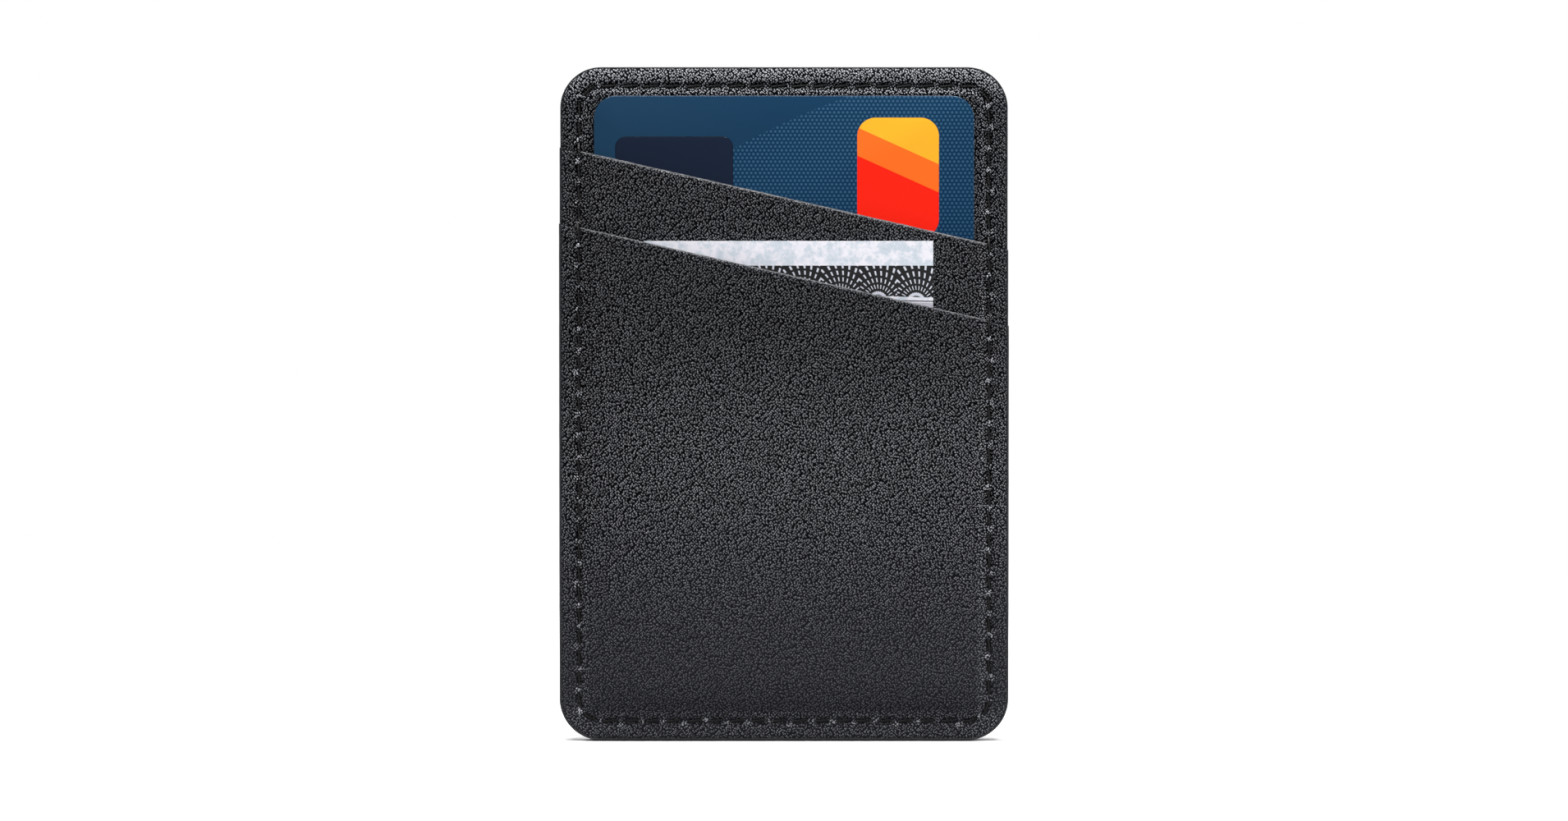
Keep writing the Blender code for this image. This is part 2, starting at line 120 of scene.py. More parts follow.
def inset_of(x, z):
    """How far inside the holder's rounded outline a point is."""
    over_x = np.abs(x) - (WIDTH / 2 - CORNER)
    over_z = np.abs(z) - (HEIGHT / 2 - CORNER)
    outside = np.hypot(np.maximum(over_x, 0), np.maximum(over_z, 0))
    inside = np.minimum(np.maximum(over_x, over_z), 0)
    return CORNER - outside - inside


SEAM_RADIUS = CORNER - SEAM_INSET
SEAM_ARC = math.pi * SEAM_RADIUS / 2
SIDE_RUN = HEIGHT - 2 * CORNER
END_RUN = WIDTH - 2 * CORNER
SEAM_LENGTH = 2 * (SIDE_RUN + END_RUN) + 4 * SEAM_ARC
STITCHES = round(SEAM_LENGTH / STITCH_PITCH)
PITCH = SEAM_LENGTH / STITCHES
SLOT_HALF = 1.20 * MM
SLOT_SLANT = 0.12
CORNERS = ((1, 1), (-1, 1), (-1, -1), (1, -1))


def along_seam(x, z):
    """How far along the seam its nearest point is, from the foot of the right side upwards."""
    over_x = np.abs(x) - END_RUN / 2
    over_z = np.abs(z) - SIDE_RUN / 2
    turn = np.arctan2(np.maximum(over_z, 1e-9), np.maximum(over_x, 1e-9)) * SEAM_RADIUS
    by_side = (over_z <= 0) & ((over_x > 0) | (np.abs(over_x) < np.abs(over_z)))
    past_side = np.where(over_x > 0, turn, SEAM_ARC - over_x)
    rise = np.where(by_side, np.abs(z), SIDE_RUN / 2 + past_side)
    right = x >= 0
    above = z >= 0
    start = np.where(right, np.where(above, 0.0, SEAM_LENGTH), SEAM_LENGTH / 2)
    return SIDE_RUN / 2 + start + np.where(right == above, rise, -rise)


def seam_point(distance, inward=0.0):
    """The point this far along the seam, anticlockwise from the foot of the right side."""
    distance = distance % SEAM_LENGTH
    radius = SEAM_RADIUS - inward
    for index, (side_x, side_z) in enumerate(CORNERS):
        run = (SIDE_RUN, END_RUN)[index % 2]
        if distance <= run + SEAM_ARC or index == 3:
            heading = index * math.pi / 2 + max(distance - run, 0.0) / SEAM_RADIUS
            back = max(run - distance, 0.0)
            out_x = math.cos(heading)
            out_z = math.sin(heading)
            x = side_x * END_RUN / 2 + radius * out_x + back * out_z
            return x, side_z * SIDE_RUN / 2 + radius * out_z - back * out_x
        distance -= run + SEAM_ARC


def place_on_seam(x, z, surface_inset):
    """A point's place by the seam: across it, along its stitch, its hole, and how far past it."""
    phase = along_seam(x, z) / PITCH
    along = (phase - np.floor(phase) - 0.5) * PITCH
    hole = np.round(phase)
    return surface_inset - SEAM_INSET, along, hole % STITCHES, (phase - hole) * PITCH


def sew(x, z, surface_inset):
    """How deep the seam pulls a leather face in: a groove, and a slot round each sunk stitch.

    Between two slots a lip of leather swells up again, slanting across the seam.
    """
    across, along, _, from_hole = place_on_seam(x, z, surface_inset)
    groove = 0.08 * MM * bell(across, 0.50 * MM) + 0.12 * MM * bell(across, 1.2 * MM)
    in_slot = smooth((SLOT_HALF - np.abs(along)) / (0.45 * MM))
    slot = 0.34 * MM * bell(across - SLOT_SLANT * along, 0.31 * MM) * in_slot
    lip = 0.12 * MM * bell(across + 0.9 * from_hole, 0.34 * MM) * (1 - in_slot)
    return groove + slot - lip


def painted_seam_shade_of(x, z, surface_inset):
    """Painted shade in the seam's slots, wider towards the top: how much it darkens the leather, 1
    in the middle of a slot.
    """
    across, along, _, _ = place_on_seam(x, z, surface_inset)
    in_slot = smooth((SLOT_HALF - np.abs(along)) / (0.40 * MM))
    width = 0.24 * MM + 0.13 * MM * smooth((z - 24 * MM) / (16 * MM))
    return bell(across - SLOT_SLANT * along, width) * in_slot


def painted_highlight_of(x, z, surface_inset):
    """Painted highlight: how much a point's colour is lightened at the seam's uneven lips, its
    shoulder and the border.
    """
    across, _, hole, from_hole = place_on_seam(x, z, surface_inset)
    shine = 0.6 + 0.8 * ((np.sin(12.9898 * hole) * 437.585) % 1.0)
    side = 0.30 * MM * np.sin(2.4 * hole)
    lip = shine * bell(across + 0.15 * MM + side, 0.34 * MM) * bell(from_hole, 0.42 * MM)
    shoulder = bell(across - 0.9 * MM, 0.45 * MM)
    border = smooth((-across - 0.2 * MM) / (0.6 * MM))
    at_top = smooth((z - 42 * MM) / (3 * MM))
    at_foot = smooth((-z - 42 * MM) / (3 * MM))
    # Painted highlight: the lips shine less along the top, and the border is lit most along the
    # top and the foot.
    lip *= 3.6 - 2.2 * at_top + 0.4 * at_foot
    return lip + (0.7 + 1.6 * at_top) * shoulder + (1.95 * at_top + 0.9 * at_foot) * border


def puff(x, z):
    """How far the border swells between its edge, the seam and the pocket's content."""
    inset = inset_of(x, z)
    outer = 0.05 * MM * bell(inset - 1.55 * MM, 0.75 * MM)
    inner = 0.05 * MM * bell(inset - 3.75 * MM, 0.45 * MM)
    return outer + inner


def roll_off(inset):
    """How far a face has dropped towards the cut edge: a tight corner and a soft shoulder."""
    from_edge = inset - LAYER_INSET
    return round_over(from_edge, 0.40 * MM) + 0.20 * MM * bell(from_edge, 1.15 * MM)


def round_over(distance, radius):
    """How far a rounded edge has dropped at this distance from it."""
    inside = np.clip(distance, 0.0, radius)
    return radius - np.sqrt(np.maximum(radius**2 - (radius - inside) ** 2, 0.0))


def waver(x, z, seed, size=1.0):
    """A slow unevenness between -1 and 1, as in any cut and glued sheet."""
    random = np.random.default_rng(seed)
    total = 0.0
    for _ in range(5):
        heading = random.uniform(0, 2 * math.pi)
        wave = random.uniform(6, 16) * MM * size
        phase = random.uniform(0, 2 * math.pi)
        travel = (x * math.cos(heading) + z * math.sin(heading)) / wave
        total = total + np.sin(2 * math.pi * travel + phase)
    return total / 5


# ---- pocket mouths


class Mouth:
    """The straight slanted top edge of a pocket's leather or lining, read off its CAD node."""

    def __init__(self, node):
        low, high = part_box(node)
        self.left = low.x
        self.top = high.z

    def height(self, x):
        return self.top - (x - self.left) * math.tan(MOUTH_ANGLE)

    def below(self, x, z):
        """Distance below the mouth, square to it."""
        return (self.height(x) - z) * math.cos(MOUTH_ANGLE)


MIDDLE_MOUTH = Mouth("middle_pocket_panel")
FRONT_MOUTH = Mouth("front_pocket_panel")


def pocket_lift(x, z, layers):
    """How far a pocket stands off its border: each layer is (height, side end, bottom end)."""
    from_side = WIDTH / 2 - SEAM_INSET - np.abs(x)
    from_bottom = z + HEIGHT / 2 - SEAM_INSET
    start = 0.25 * MM
    total = 0.0
    for height, side_end, bottom_end in layers:
        side = smooth((from_side - start) / (side_end - start))
        bottom = smooth((from_bottom - start) / (bottom_end - start))
        total = total + height * side * bottom
    return total


CARD_LAYER = (CARD_LIFT, 1.9 * MM, 3.2 * MM)
NOTE_LAYER = (NOTE_LIFT, 6.0 * MM, 6.0 * MM)
FULLNESS = (0.28 * MM, 15.0 * MM, 15.0 * MM)


def gape(x, z, mouth, amount):
    """How far a pocket leans open towards its mouth, over what it holds."""
    from_side = WIDTH / 2 - SEAM_INSET - np.abs(x)
    free = smooth(from_side / (14 * MM))
    return amount * free * bell(np.maximum(mouth.below(x, z), 0.0), 9 * MM)


def middle_lift(x, z):
    return pocket_lift(x, z, [CARD_LAYER]) + gape(x, z, MIDDLE_MOUTH, 0.02 * MM)


def front_lift(x, z):
    flat = pocket_lift(x, z, [CARD_LAYER, NOTE_LAYER, FULLNESS])
    return flat + gape(x, z, FRONT_MOUTH, 0.60 * MM)


# ---- sheets


def border_axis(half, stop):
    """Grid lines in one direction: close together over a sewn border, then even."""
    inner = half - CORNER
    end = min(stop, inner)
    steps = round((end + inner) / FINE_STEP)
    lines = [ACROSS_BORDER[:-1] - half, np.linspace(-inner, end, steps + 1)]
    if stop > inner:
        lines.append(half - ACROSS_BORDER[-2::-1])
    return np.concatenate(lines)


COLUMNS = border_axis(WIDTH / 2, WIDTH / 2)


def into_outline(a, b):
    """Carries a point of the square-cornered grid into the outline with round corners."""
    over_a = np.maximum(np.abs(a) - END_RUN / 2, 0.0)
    over_b = np.maximum(np.abs(b) - SIDE_RUN / 2, 0.0)
    radius = np.maximum(over_a, over_b)
    safe = np.maximum(radius, 1e-12)
    angle = math.pi / 4 * np.where(over_a >= over_b, over_b / safe, 2 - over_a / safe)
    in_corner = (over_a > 0) & (over_b > 0)
    x = np.where(in_corner, np.sign(a) * (END_RUN / 2 + radius * np.cos(angle)), a)
    z = np.where(in_corner, np.sign(b) * (SIDE_RUN / 2 + radius * np.sin(angle)), b)
    return x, z


def full_grid():
    """Grid points of a sheet that fills the whole outline."""
    rows = border_axis(HEIGHT / 2, HEIGHT / 2)
    return into_outline(*np.meshgrid(COLUMNS, rows))


def pocket_grid(mouth, ragged=0.0, seed=0):
    """Grid points of a pocket sheet: its rows turn from level at its foot to the mouth's slant."""
    foot = -SIDE_RUN / 2
    rise = mouth.height(0.0) - foot
    lower = border_axis(HEIGHT / 2, mouth.height(0.0) - 2.0 * MM)
    shares = np.concatenate([(lower - foot) / rise, 1 - NEAR_MOUTH / rise])
    a, share = np.meshgrid(COLUMNS, shares)
    x, low_z = into_outline(a, foot + np.minimum(share, 0.0) * rise)
    frayed = ragged * waver(x, 0 * x, seed, 0.06) * (share > 0.999)
    high_z = foot + share * (mouth.height(x) - foot) + frayed
    return x, np.where(share > 0, high_z, low_z)


def thin_out(count, step):
    return sorted({*range(0, count, step), count - 1})


def grid_faces(lookup, rows, columns, outwards):
    faces = []
    for r0, r1 in zip(rows, rows[1:]):
        for c0, c1 in zip(columns, columns[1:]):
            loop = [int(lookup[at]) for at in ((r0, c0), (r0, c1), (r1, c1), (r1, c0))]
            faces.append(loop if outwards else loop[::-1])
    return faces


def sheet(name, grid, front, back, front_step=1, back_step=4):
    """A closed sheet over grid points (x, z), between two depths. Either face can be coarser."""
    x, z = grid
    sides = []
    points = []
    start = 0
    for depth, step in ((front, front_step), (back, back_step)):
        rows = thin_out(x.shape[0], step)
        columns = thin_out(x.shape[1], step)
        picked = np.ix_(rows, columns)
        count = len(rows) * len(columns)
        lookup = np.full(x.shape, -1)
        lookup[picked] = start + np.arange(count).reshape(len(rows), len(columns))
        points.append(np.stack([x[picked], -depth[picked], z[picked]], axis=-1).reshape(-1, 3))
        sides.append((lookup, rows, columns))
        start += count
    faces = grid_faces(*sides[0], True) + grid_faces(*sides[1], False)
    return mesh_object(name, np.concatenate(points), faces + wall_faces(sides, *x.shape))


def wall_faces(sides, row_count, column_count):
    """Faces that join the edges of the two sides, whichever of them is the coarser."""
    (front, front_rows, front_columns), (back, back_rows, back_columns) = sides
    last_row = row_count - 1
    last_column = column_count - 1
    runs = (
        (front_columns, back_columns, lambda i: (0, i), True),
        (front_rows, back_rows, lambda i: (i, last_column), True),
        (front_columns, back_columns, lambda i: (last_row, i), False),
        (front_rows, back_rows, lambda i: (i, 0), False),
    )
    faces = []
    for front_run, back_run, place, forwards in runs:
        shared = sorted(set(front_run) & set(back_run))
        for first, last in zip(shared, shared[1:]):
            ahead = [int(front[place(i)]) for i in front_run if first <= i <= last]
            behind = [int(back[place(i)]) for i in back_run if first <= i <= last]
            loop = behind + ahead[::-1]
            faces.append(loop if forwards else loop[::-1])
    return faces


def link(name, mesh, smooth_angle):
    """Puts a mesh in the scene, shaded smooth but for edges that turn by more than an angle."""
    mesh.shade_smooth()
    mesh.set_sharp_from_angle(angle=math.radians(smooth_angle))
    made = bpy.data.objects.new(name, mesh)
    bpy.context.scene.collection.objects.link(made)
    return made


def mesh_object(name, points, faces, smooth_angle=40.0):
    mesh = bpy.data.meshes.new(name)
    mesh.from_pydata([tuple(p) for p in points], [], faces)
    mesh.validate()
    return link(name, mesh, smooth_angle)


def ring_faces(first, rings, size, closed=False):
    """Faces between neighbouring rings of points that are stored one after another."""
    faces = []
    for ring in range(rings if closed else rings - 1):
        here = first + ring * size
        there = first + (ring + 1) % rings * size
        for k in range(size):
            ahead = (k + 1) % size
            faces.append((here + k, here + ahead, there + ahead, there + k))
    return faces


def mark_leather(piece, mouth=None):
    """Stores where a sheet is worn, and where its painted shade and painted highlight go, at its
    points, for the material.
    """
    points = piece_points(piece).astype(float)
    x, z = points[:, 0], points[:, 2]
    inset = inset_of(x, z)
    wear = bell(inset - LAYER_INSET - 0.1 * MM, 0.35 * MM)
    painted_shade = painted_seam_shade_of(x, z, inset)
    if mouth:
        at_mouth = bell(mouth.below(x, z), 0.3 * MM)
        on_border = smooth((SEAM_INSET - inset) / (0.5 * MM) + 0.5)
        wear = np.maximum(wear, at_mouth)
        # Painted shade along the mouth's cut edge where it crosses the border.
        painted_shade = np.maximum(painted_shade, 0.85 * at_mouth * on_border)
    marks = {"wear": wear, "painted_shade": painted_shade, "painted_highlight": painted_highlight_of(x, z, inset)}
    for name, values in marks.items():
        layer = piece.data.attributes.new(name, "FLOAT", "POINT")
        layer.data.foreach_set("value", values.astype(np.float32))


def piece_points(piece):
    points = np.empty(len(piece.data.vertices) * 3, np.float32)
    piece.data.vertices.foreach_get("co", points)
    return points.reshape(-1, 3)


def place_piece(piece, body, slot, material, *nodes):
    piece.data.materials.append(material)
    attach(piece, body)
    if nodes:
        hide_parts(*nodes)
    return piece


# ---- node helpers


class Nodes:
    """Adds shader nodes to a material or a world, and wires sockets or sets values by name."""

    def __init__(self, owner):
        self.owner = owner
        owner.use_nodes = True
        self.tree = owner.node_tree
        self.tree.nodes.clear()

    def add(self, kind, settings=None, **inputs):
        made = self.tree.nodes.new("ShaderNode" + kind)
        for key, value in (settings or {}).items():
            setattr(made, key, value)
        for key, value in inputs.items():
            self.set(made.inputs[key.replace("_", " ")], value)
        return made

    def set(self, socket, value):
        if isinstance(value, bpy.types.NodeSocket):
            self.tree.links.new(value, socket)
        else:
            colour = socket.type == "RGBA" and len(value) == 3
            socket.default_value = (*value, 1.0) if colour else value

    def math(self, operation, *values, clamp=False):
        made = self.add("Math", {"operation": operation, "use_clamp": clamp})
        for socket, value in zip(made.inputs, values):
            self.set(socket, value)
        return made.outputs[0]

    def times(self, first, second):
        return self.math("MULTIPLY", first, second)

    def minus(self, first, second, clamp=False):
        return self.math("SUBTRACT", first, second, clamp=clamp)

    def line(self, value, slope, start):
        return self.math("MULTIPLY_ADD", value, slope, start)

    def length(self, first, second):
        squares = self.math("ADD", self.times(first, first), self.times(second, second))
        return self.math("SQRT", squares)

    def vector(self, operation, first, second=(0.0, 0.0, 0.0), scale=1.0):
        made = self.add("VectorMath", {"operation": operation})
        for index, value in ((0, first), (1, second), (3, scale)):
            self.set(made.inputs[index], value)
        return made.outputs["Value" if operation == "LENGTH" else 0]

    def parts(self, vector):
        """The x and the z of a vector."""
        made = self.add("SeparateXYZ", Vector=vector)
        return made.outputs["X"], made.outputs["Z"]

    def step(self, value, low, high, to_low=0.0, to_high=1.0):
        made = self.add("MapRange", {"interpolation_type": "SMOOTHSTEP"})
        for socket, item in zip(made.inputs, (value, low, high, to_low, to_high)):
            self.set(socket, item)
        return made.outputs[0]

    def mix(self, share, first, second):
        """Mixes two colours."""
        made = self.add("Mix", {"data_type": "RGBA"})
        for index, value in ((0, share), (6, first), (7, second)):
            self.set(made.inputs[index], value)
        return made.outputs[2]

    def mix_shaders(self, share, first, second):
        made = self.add("MixShader")
        for socket, value in zip(made.inputs, (share, first.outputs[0], second.outputs[0])):
            self.set(socket, value)
        return made.outputs[0]

    def noise(self, place, scale, detail=2.0, roughness=0.5, output="Fac"):
        made = self.add("TexNoise", Vector=place, Scale=scale, Detail=detail, Roughness=roughness)
        return made.outputs[output]

    def mark(self, name):
        """A value that mark_leather stored at the points."""
        return self.add("Attribute", {"attribute_name": name}).outputs["Fac"]

    def finish(self, colour, roughness, height=None, depth_mm=0.0, **more):
        """Ends a material with one shader, embossed by a height if there is one."""
        if height is not None:
            bump = self.add("Bump", Height=height, Strength=1.0, Distance=depth_mm * MM)
            more["Normal"] = bump.outputs["Normal"]
        shader = self.add("BsdfPrincipled", Base_Color=colour, Roughness=roughness, **more)
        self.add("OutputMaterial", Surface=shader.outputs[0])
        return self.owner


# ---- materials


def new_material(name):
    """A wrapper for a new material, and the place on its piece in millimetres."""
    n = Nodes(bpy.data.materials.new(name))
    return n, n.vector("SCALE", n.add("TexCoord").outputs["Object"], scale=1000.0)


def leather_material():
    """Black coated leather: small domed pebbles with painted highlights on their crests and
    painted shade in their valleys, fainter towards the foot.
    """
    n, place = new_material("black_leather")
    drift = n.vector("SUBTRACT", n.noise(place, 0.9, output="Color"), (0.5, 0.5, 0.5))
    warped = n.vector("ADD", place, n.vector("SCALE", drift, scale=0.45))
    x, z = n.parts(warped)
    down_right = n.times(n.minus(x, z), 0.60)
    up_right = n.times(n.math("ADD", x, z), 0.80)
    flat = n.add("CombineXYZ", X=down_right, Y=up_right).outputs[0]
    cells = n.add(
        "TexVoronoi", {"voronoi_dimensions": "2D"}, Vector=flat, Scale=3.2, Randomness=0.75
    )
    dome = n.times(cells.outputs["Distance"], 1.68)
    dome = n.minus(1.0, n.times(dome, dome), clamp=True)
    each = n.add("SeparateColor", Color=cells.outputs["Color"]).outputs[0]
    fine = n.noise(place, 7.0, 3.0)
    slow = n.noise(place, 0.12)
    wear, painted_shade, painted_highlight = n.mark("wear"), n.mark("painted_shade"), n.mark("painted_highlight")

    # Painted light, beside the grain's relief: towards the foot the grain is flatter, its colour a
    # plainer lighter grey and its painted highlights fewer.
    relief_and_painted_light = n.step(z, -42.0, -10.0, 0.25, 1.0)
    # Painted shade: in the upper part, from just below the mouths up, the painted highlights and
    # the gloss are weaker.
    painted_dim_band = n.step(z, -8.0, 13.0, 1.0, 0.68)
    height = n.line(fine, 0.25, n.times(dome, n.line(each, 0.3, 0.85)))
    height = n.times(height, n.line(wear, -0.4, relief_and_painted_light))

    # Painted shade: the valleys between the pebbles are coloured darker than their tops.
    shaded_valley = n.mix(relief_and_painted_light, (0.0190, 0.0193, 0.0250), (0.0016, 0.0017, 0.0021))
    top = n.mix(relief_and_painted_light, (0.0245, 0.0249, 0.0306), (0.0060, 0.0062, 0.0076))
    colour = n.mix(n.step(dome, 0.15, 0.75), shaded_valley, top)
    # Painted highlight: pale colour on the pebble crests, stronger where painted_highlight marks
    # the seam lips, its shoulder and the border.
    painted_crest_highlight = n.times(n.step(dome, 0.66, 1.0), n.line(each, 0.7, 0.3))
    painted_crest_highlight = n.times(painted_crest_highlight, n.line(painted_highlight, 0.5, n.times(n.line(relief_and_painted_light, 0.56, 0.14), painted_dim_band)))
    # Painted glints on the seam's lips and the border.
    painted_glint = n.times(n.step(painted_highlight, 1.3, 2.8), n.line(each, 0.8, 0.25))
    painted_glint = n.times(painted_glint, n.step(dome, 0.35, 0.90))
    painted_crest_highlight = n.math("ADD", painted_crest_highlight, painted_glint, clamp=True)
    colour = n.mix(painted_crest_highlight, colour, (0.460, 0.469, 0.504))
    colour = n.mix(n.times(wear, 0.4), colour, (0.040, 0.041, 0.047))
    # Painted shade in the seam slots and along the mouth edges on the border.
    colour = n.mix(n.times(painted_shade, 0.85), colour, (0.0010, 0.0010, 0.0013))

    gloss = n.times(n.step(dome, 0.45, 0.95), n.line(each, 0.5, 0.5))
    gloss = n.times(n.line(gloss, relief_and_painted_light, 0.03), n.line(painted_shade, -0.85, painted_dim_band))
    return n.finish(
        colour, n.line(slow, 0.08, 0.28), height, 0.08,
        IOR=1.55, Specular_IOR_Level=gloss, Specular_Tint=(0.90, 0.94, 1.0),
    )


def edge_material():
    """Edge paint: smooth and satin, with the slight waves of a brushed coat."""
    n, place = new_material("edge_paint")
    waves = n.noise(place, 0.9, 3.0)
    height = n.line(n.noise(place, 14.0), 0.12, waves)
    colour = n.mix(waves, (0.022, 0.023, 0.027), (0.040, 0.041, 0.046))
    return n.finish(colour, n.line(waves, 0.2, 0.3), height, 0.03)


def lining_material():
    """The pale cut edge and matte woven face of the lining."""
    n, place = new_material("lining_fabric")
    across, upwards = (
        n.add("TexWave", {"bands_direction": axis}, Vector=place, Scale=1.6).outputs["Fac"]
        for axis in "XZ"
    )
    fuzz = n.noise(place, 11.0, 3.0, 0.7)
    height = n.line(fuzz, 0.6, n.times(across, upwards))
    colour = n.mix(fuzz, (0.10, 0.10, 0.105), (0.34, 0.34, 0.35))
    colour = n.mix(n.step(n.noise(place, 0.9, 3.0), 0.35, 0.65), colour, (0.36, 0.36, 0.37))
    return n.finish(colour, 0.95, height, 0.04, Sheen_Weight=0.3)


def speckled_material(name, noise, dark, light, roughness, depth_mm=0.0, stretch=None, **more):
    """A plain material with one noise in its colour and, if asked for, in its gloss and height."""
    n, place = new_material(name)
    if stretch:
        place = n.vector("MULTIPLY", place, stretch)
    specks = n.noise(place, *noise)
    if isinstance(roughness, tuple):
        roughness = n.line(specks, *roughness)
    height = specks if depth_mm else None
    return n.finish(n.mix(specks, dark, light), roughness, height, depth_mm, **more)


def card_print(n, place, x, z):
    """Blue card print: a plain corner and, inside a wide arc, a field of halftone dots."""
    plain = n.mix(n.step(x, -27.0, 12.0), (0.0135, 0.0500, 0.1040), (0.0078, 0.0440, 0.1030))
    arc_centre = (50.5, 0.0, -69.0)
    arc_radius = 120.0
    flat = n.vector("MULTIPLY", n.vector("SUBTRACT", place, arc_centre), (1.0, 0.0, 1.0))
    from_arc = n.minus(arc_radius, n.vector("LENGTH", flat))
    fade = n.step(from_arc, 0.0, 42.0)
    base = n.mix(fade, (0.0060, 0.0380, 0.0920), (0.0024, 0.0220, 0.0640))
    dots = n.mix(fade, (0.0340, 0.1020, 0.1900), (0.0170, 0.0680, 0.1400))
    field = n.mix(hex_dots(n, x, z, 0.62, 0.19), base, dots)
    return n.mix(n.step(from_arc, -0.06, 0.10), plain, field)


def hex_dots(n, x, z, pitch, radius):
    """1 inside the dots of a hexagonal lattice, 0 between them."""
    nearest = 9.0
    for shift in (0.0, 0.5):
        offsets = []
        for value, period in ((x, pitch), (z, pitch * math.sqrt(3.0))):
            share = n.math("FRACT", n.line(value, 1 / period, shift + 100.0))
            offsets.append(n.times(n.minus(share, 0.5), period))
        nearest = n.math("MINIMUM", n.length(*offsets), nearest)
    return n.step(nearest, radius + 0.05, radius - 0.05)


def box_shape(n, x, z, centre, half, radius):
    """Signed distance to a rounded rectangle: below 0 inside it."""
    over_x, over_z = (
        n.minus(n.math("ABSOLUTE", n.minus(value, middle)), reach - radius)
        for value, middle, reach in zip((x, z), centre, half)
    )
    far = n.length(n.math("MAXIMUM", over_x, 0.0), n.math("MAXIMUM", over_z, 0.0))
    near = n.math("MINIMUM", n.math("MAXIMUM", over_x, over_z), 0.0)
    return n.minus(n.math("ADD", far, near), radius)


def card_material():
    """The card's print, with a plain striped badge near its top right corner."""
    n, place = new_material("card_print")
    x, z = n.parts(place)
    colour = card_print(n, place, x, z)
    half_width, half_height = 5.8, 8.5
    middle_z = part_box("card_body")[1].z / MM - 3.1 - half_height
    badge = box_shape(n, x, z, (16.2, middle_z), (half_width, half_height), 2.6)
    slanted = n.minus(n.line(x, 0.45, z), middle_z + 15.8)
    stripes = (1.0, 0.019, 0.007)
    for height, ink in ((-8.0, (1.0, 0.165, 0.018)), (-4.0, (1.0, 0.473, 0.028))):
        stripes = n.mix(n.step(slanted, height - 0.05, height + 0.05), stripes, ink)
    colour = n.mix(n.step(badge, 0.05, -0.05), colour, stripes)
    grain = n.noise(place, 9.0)
    return n.finish(colour, n.line(grain, 0.06, 0.17), grain, 0.004)


def signature_material():
    """A writable panel with a faint pattern of slanting safety lines."""
    n, place = new_material("signature_strip")
    turned = n.vector("MULTIPLY", place, (1.0, 0.0, 1.0))
    wave = n.add(
        "TexWave", {"bands_direction": "DIAGONAL"}, Vector=turned, Scale=0.55, Distortion=1.2
    ).outputs["Fac"]
    fibres = n.noise(place, 6.0, 3.0)
    paper = n.mix(fibres, (0.78, 0.78, 0.75), (0.86, 0.86, 0.83))
    colour = n.mix(n.times(n.step(wave, 0.80, 0.95), 0.5), paper, (0.42, 0.52, 0.66))
    return n.finish(colour, 0.75, fibres, 0.01)


def adhesive_material():
    n, place = new_material("acrylic_foam")
    cells = n.add("TexVoronoi", Vector=place, Scale=2.4).outputs["Distance"]
    slow = n.noise(place, 0.25, 3.0)
    colour = n.mix(slow, (0.60, 0.59, 0.55), (0.76, 0.75, 0.71))
    return n.finish(
        colour, 0.22, n.line(slow, 2.0, cells), 0.02,
        Subsurface_Weight=0.2, Subsurface_Scale=0.4 * MM, Coat_Weight=0.3, Coat_Roughness=0.12,
    )


def liner_material():
    """Honey-coloured glassine: fine fibres under a smooth silicone coat."""
    n, place = new_material("release_paper")
    fibres = n.noise(n.vector("MULTIPLY", place, (1.0, 1.0, 0.35)), 3.5, 5.0, 0.65)
    colour = n.mix(fibres, (0.74, 0.60, 0.38), (0.88, 0.78, 0.56))
    colour = n.mix(n.times(n.noise(place, 0.16, 3.0), 0.35), colour, (0.92, 0.85, 0.66))
    return n.finish(colour, n.line(fibres, 0.15, 0.28), fibres, 0.008)


def note_band(n, across, edge):
    """Engraved fans of lines round small hubs, side by side along the note's dark band."""
    lobe_width = 5.4
    lobe = n.math("FRACT", n.line(across, 1 / lobe_width, 0.35))
    lobe = n.times(n.minus(lobe, 0.5), lobe_width)
    rise = n.minus(8.3, edge)
    reach = n.length(lobe, rise)
    angle = n.math("ARCTAN2", lobe, rise)
    fan = n.math("SINE", n.line(angle, 30.0, n.times(reach, 1.2)))
    rings = n.math("SINE", n.times(reach, 7.0))
    lines = n.times(n.step(fan, 0.50, 0.75), n.step(rings, -0.6, -0.2))
    hub = n.times(n.step(reach, 1.75, 1.55), n.step(rings, -0.1, 0.5))
    return n.mix(n.math("MAXIMUM", lines, hub), (0.0015, 0.0015, 0.0030), (0.66, 0.68, 0.76))


def note_rosette(n, place, centre):
    """1 on the lines of a round scalloped rosette in the middle of the note."""
    middle = n.vector("SUBTRACT", place, centre)
    far = n.vector("LENGTH", n.vector("MULTIPLY", middle, (1.0, 0.0, 1.0)))
    petals = n.math("SINE", n.times(n.math("ARCTAN2", *n.parts(middle)), 24.0))
    ripples = n.times(far, 7.5)
    scallop, counter = (n.math("SINE", n.line(petals, sway, ripples)) for sway in (1.6, -1.6))
    lines = n.step(n.math("MAXIMUM", scallop, counter), 0.80, 0.96)
    return n.times(lines, n.times(n.step(far, 14.0, 13.8), n.step(far, 4.0, 4.2)))


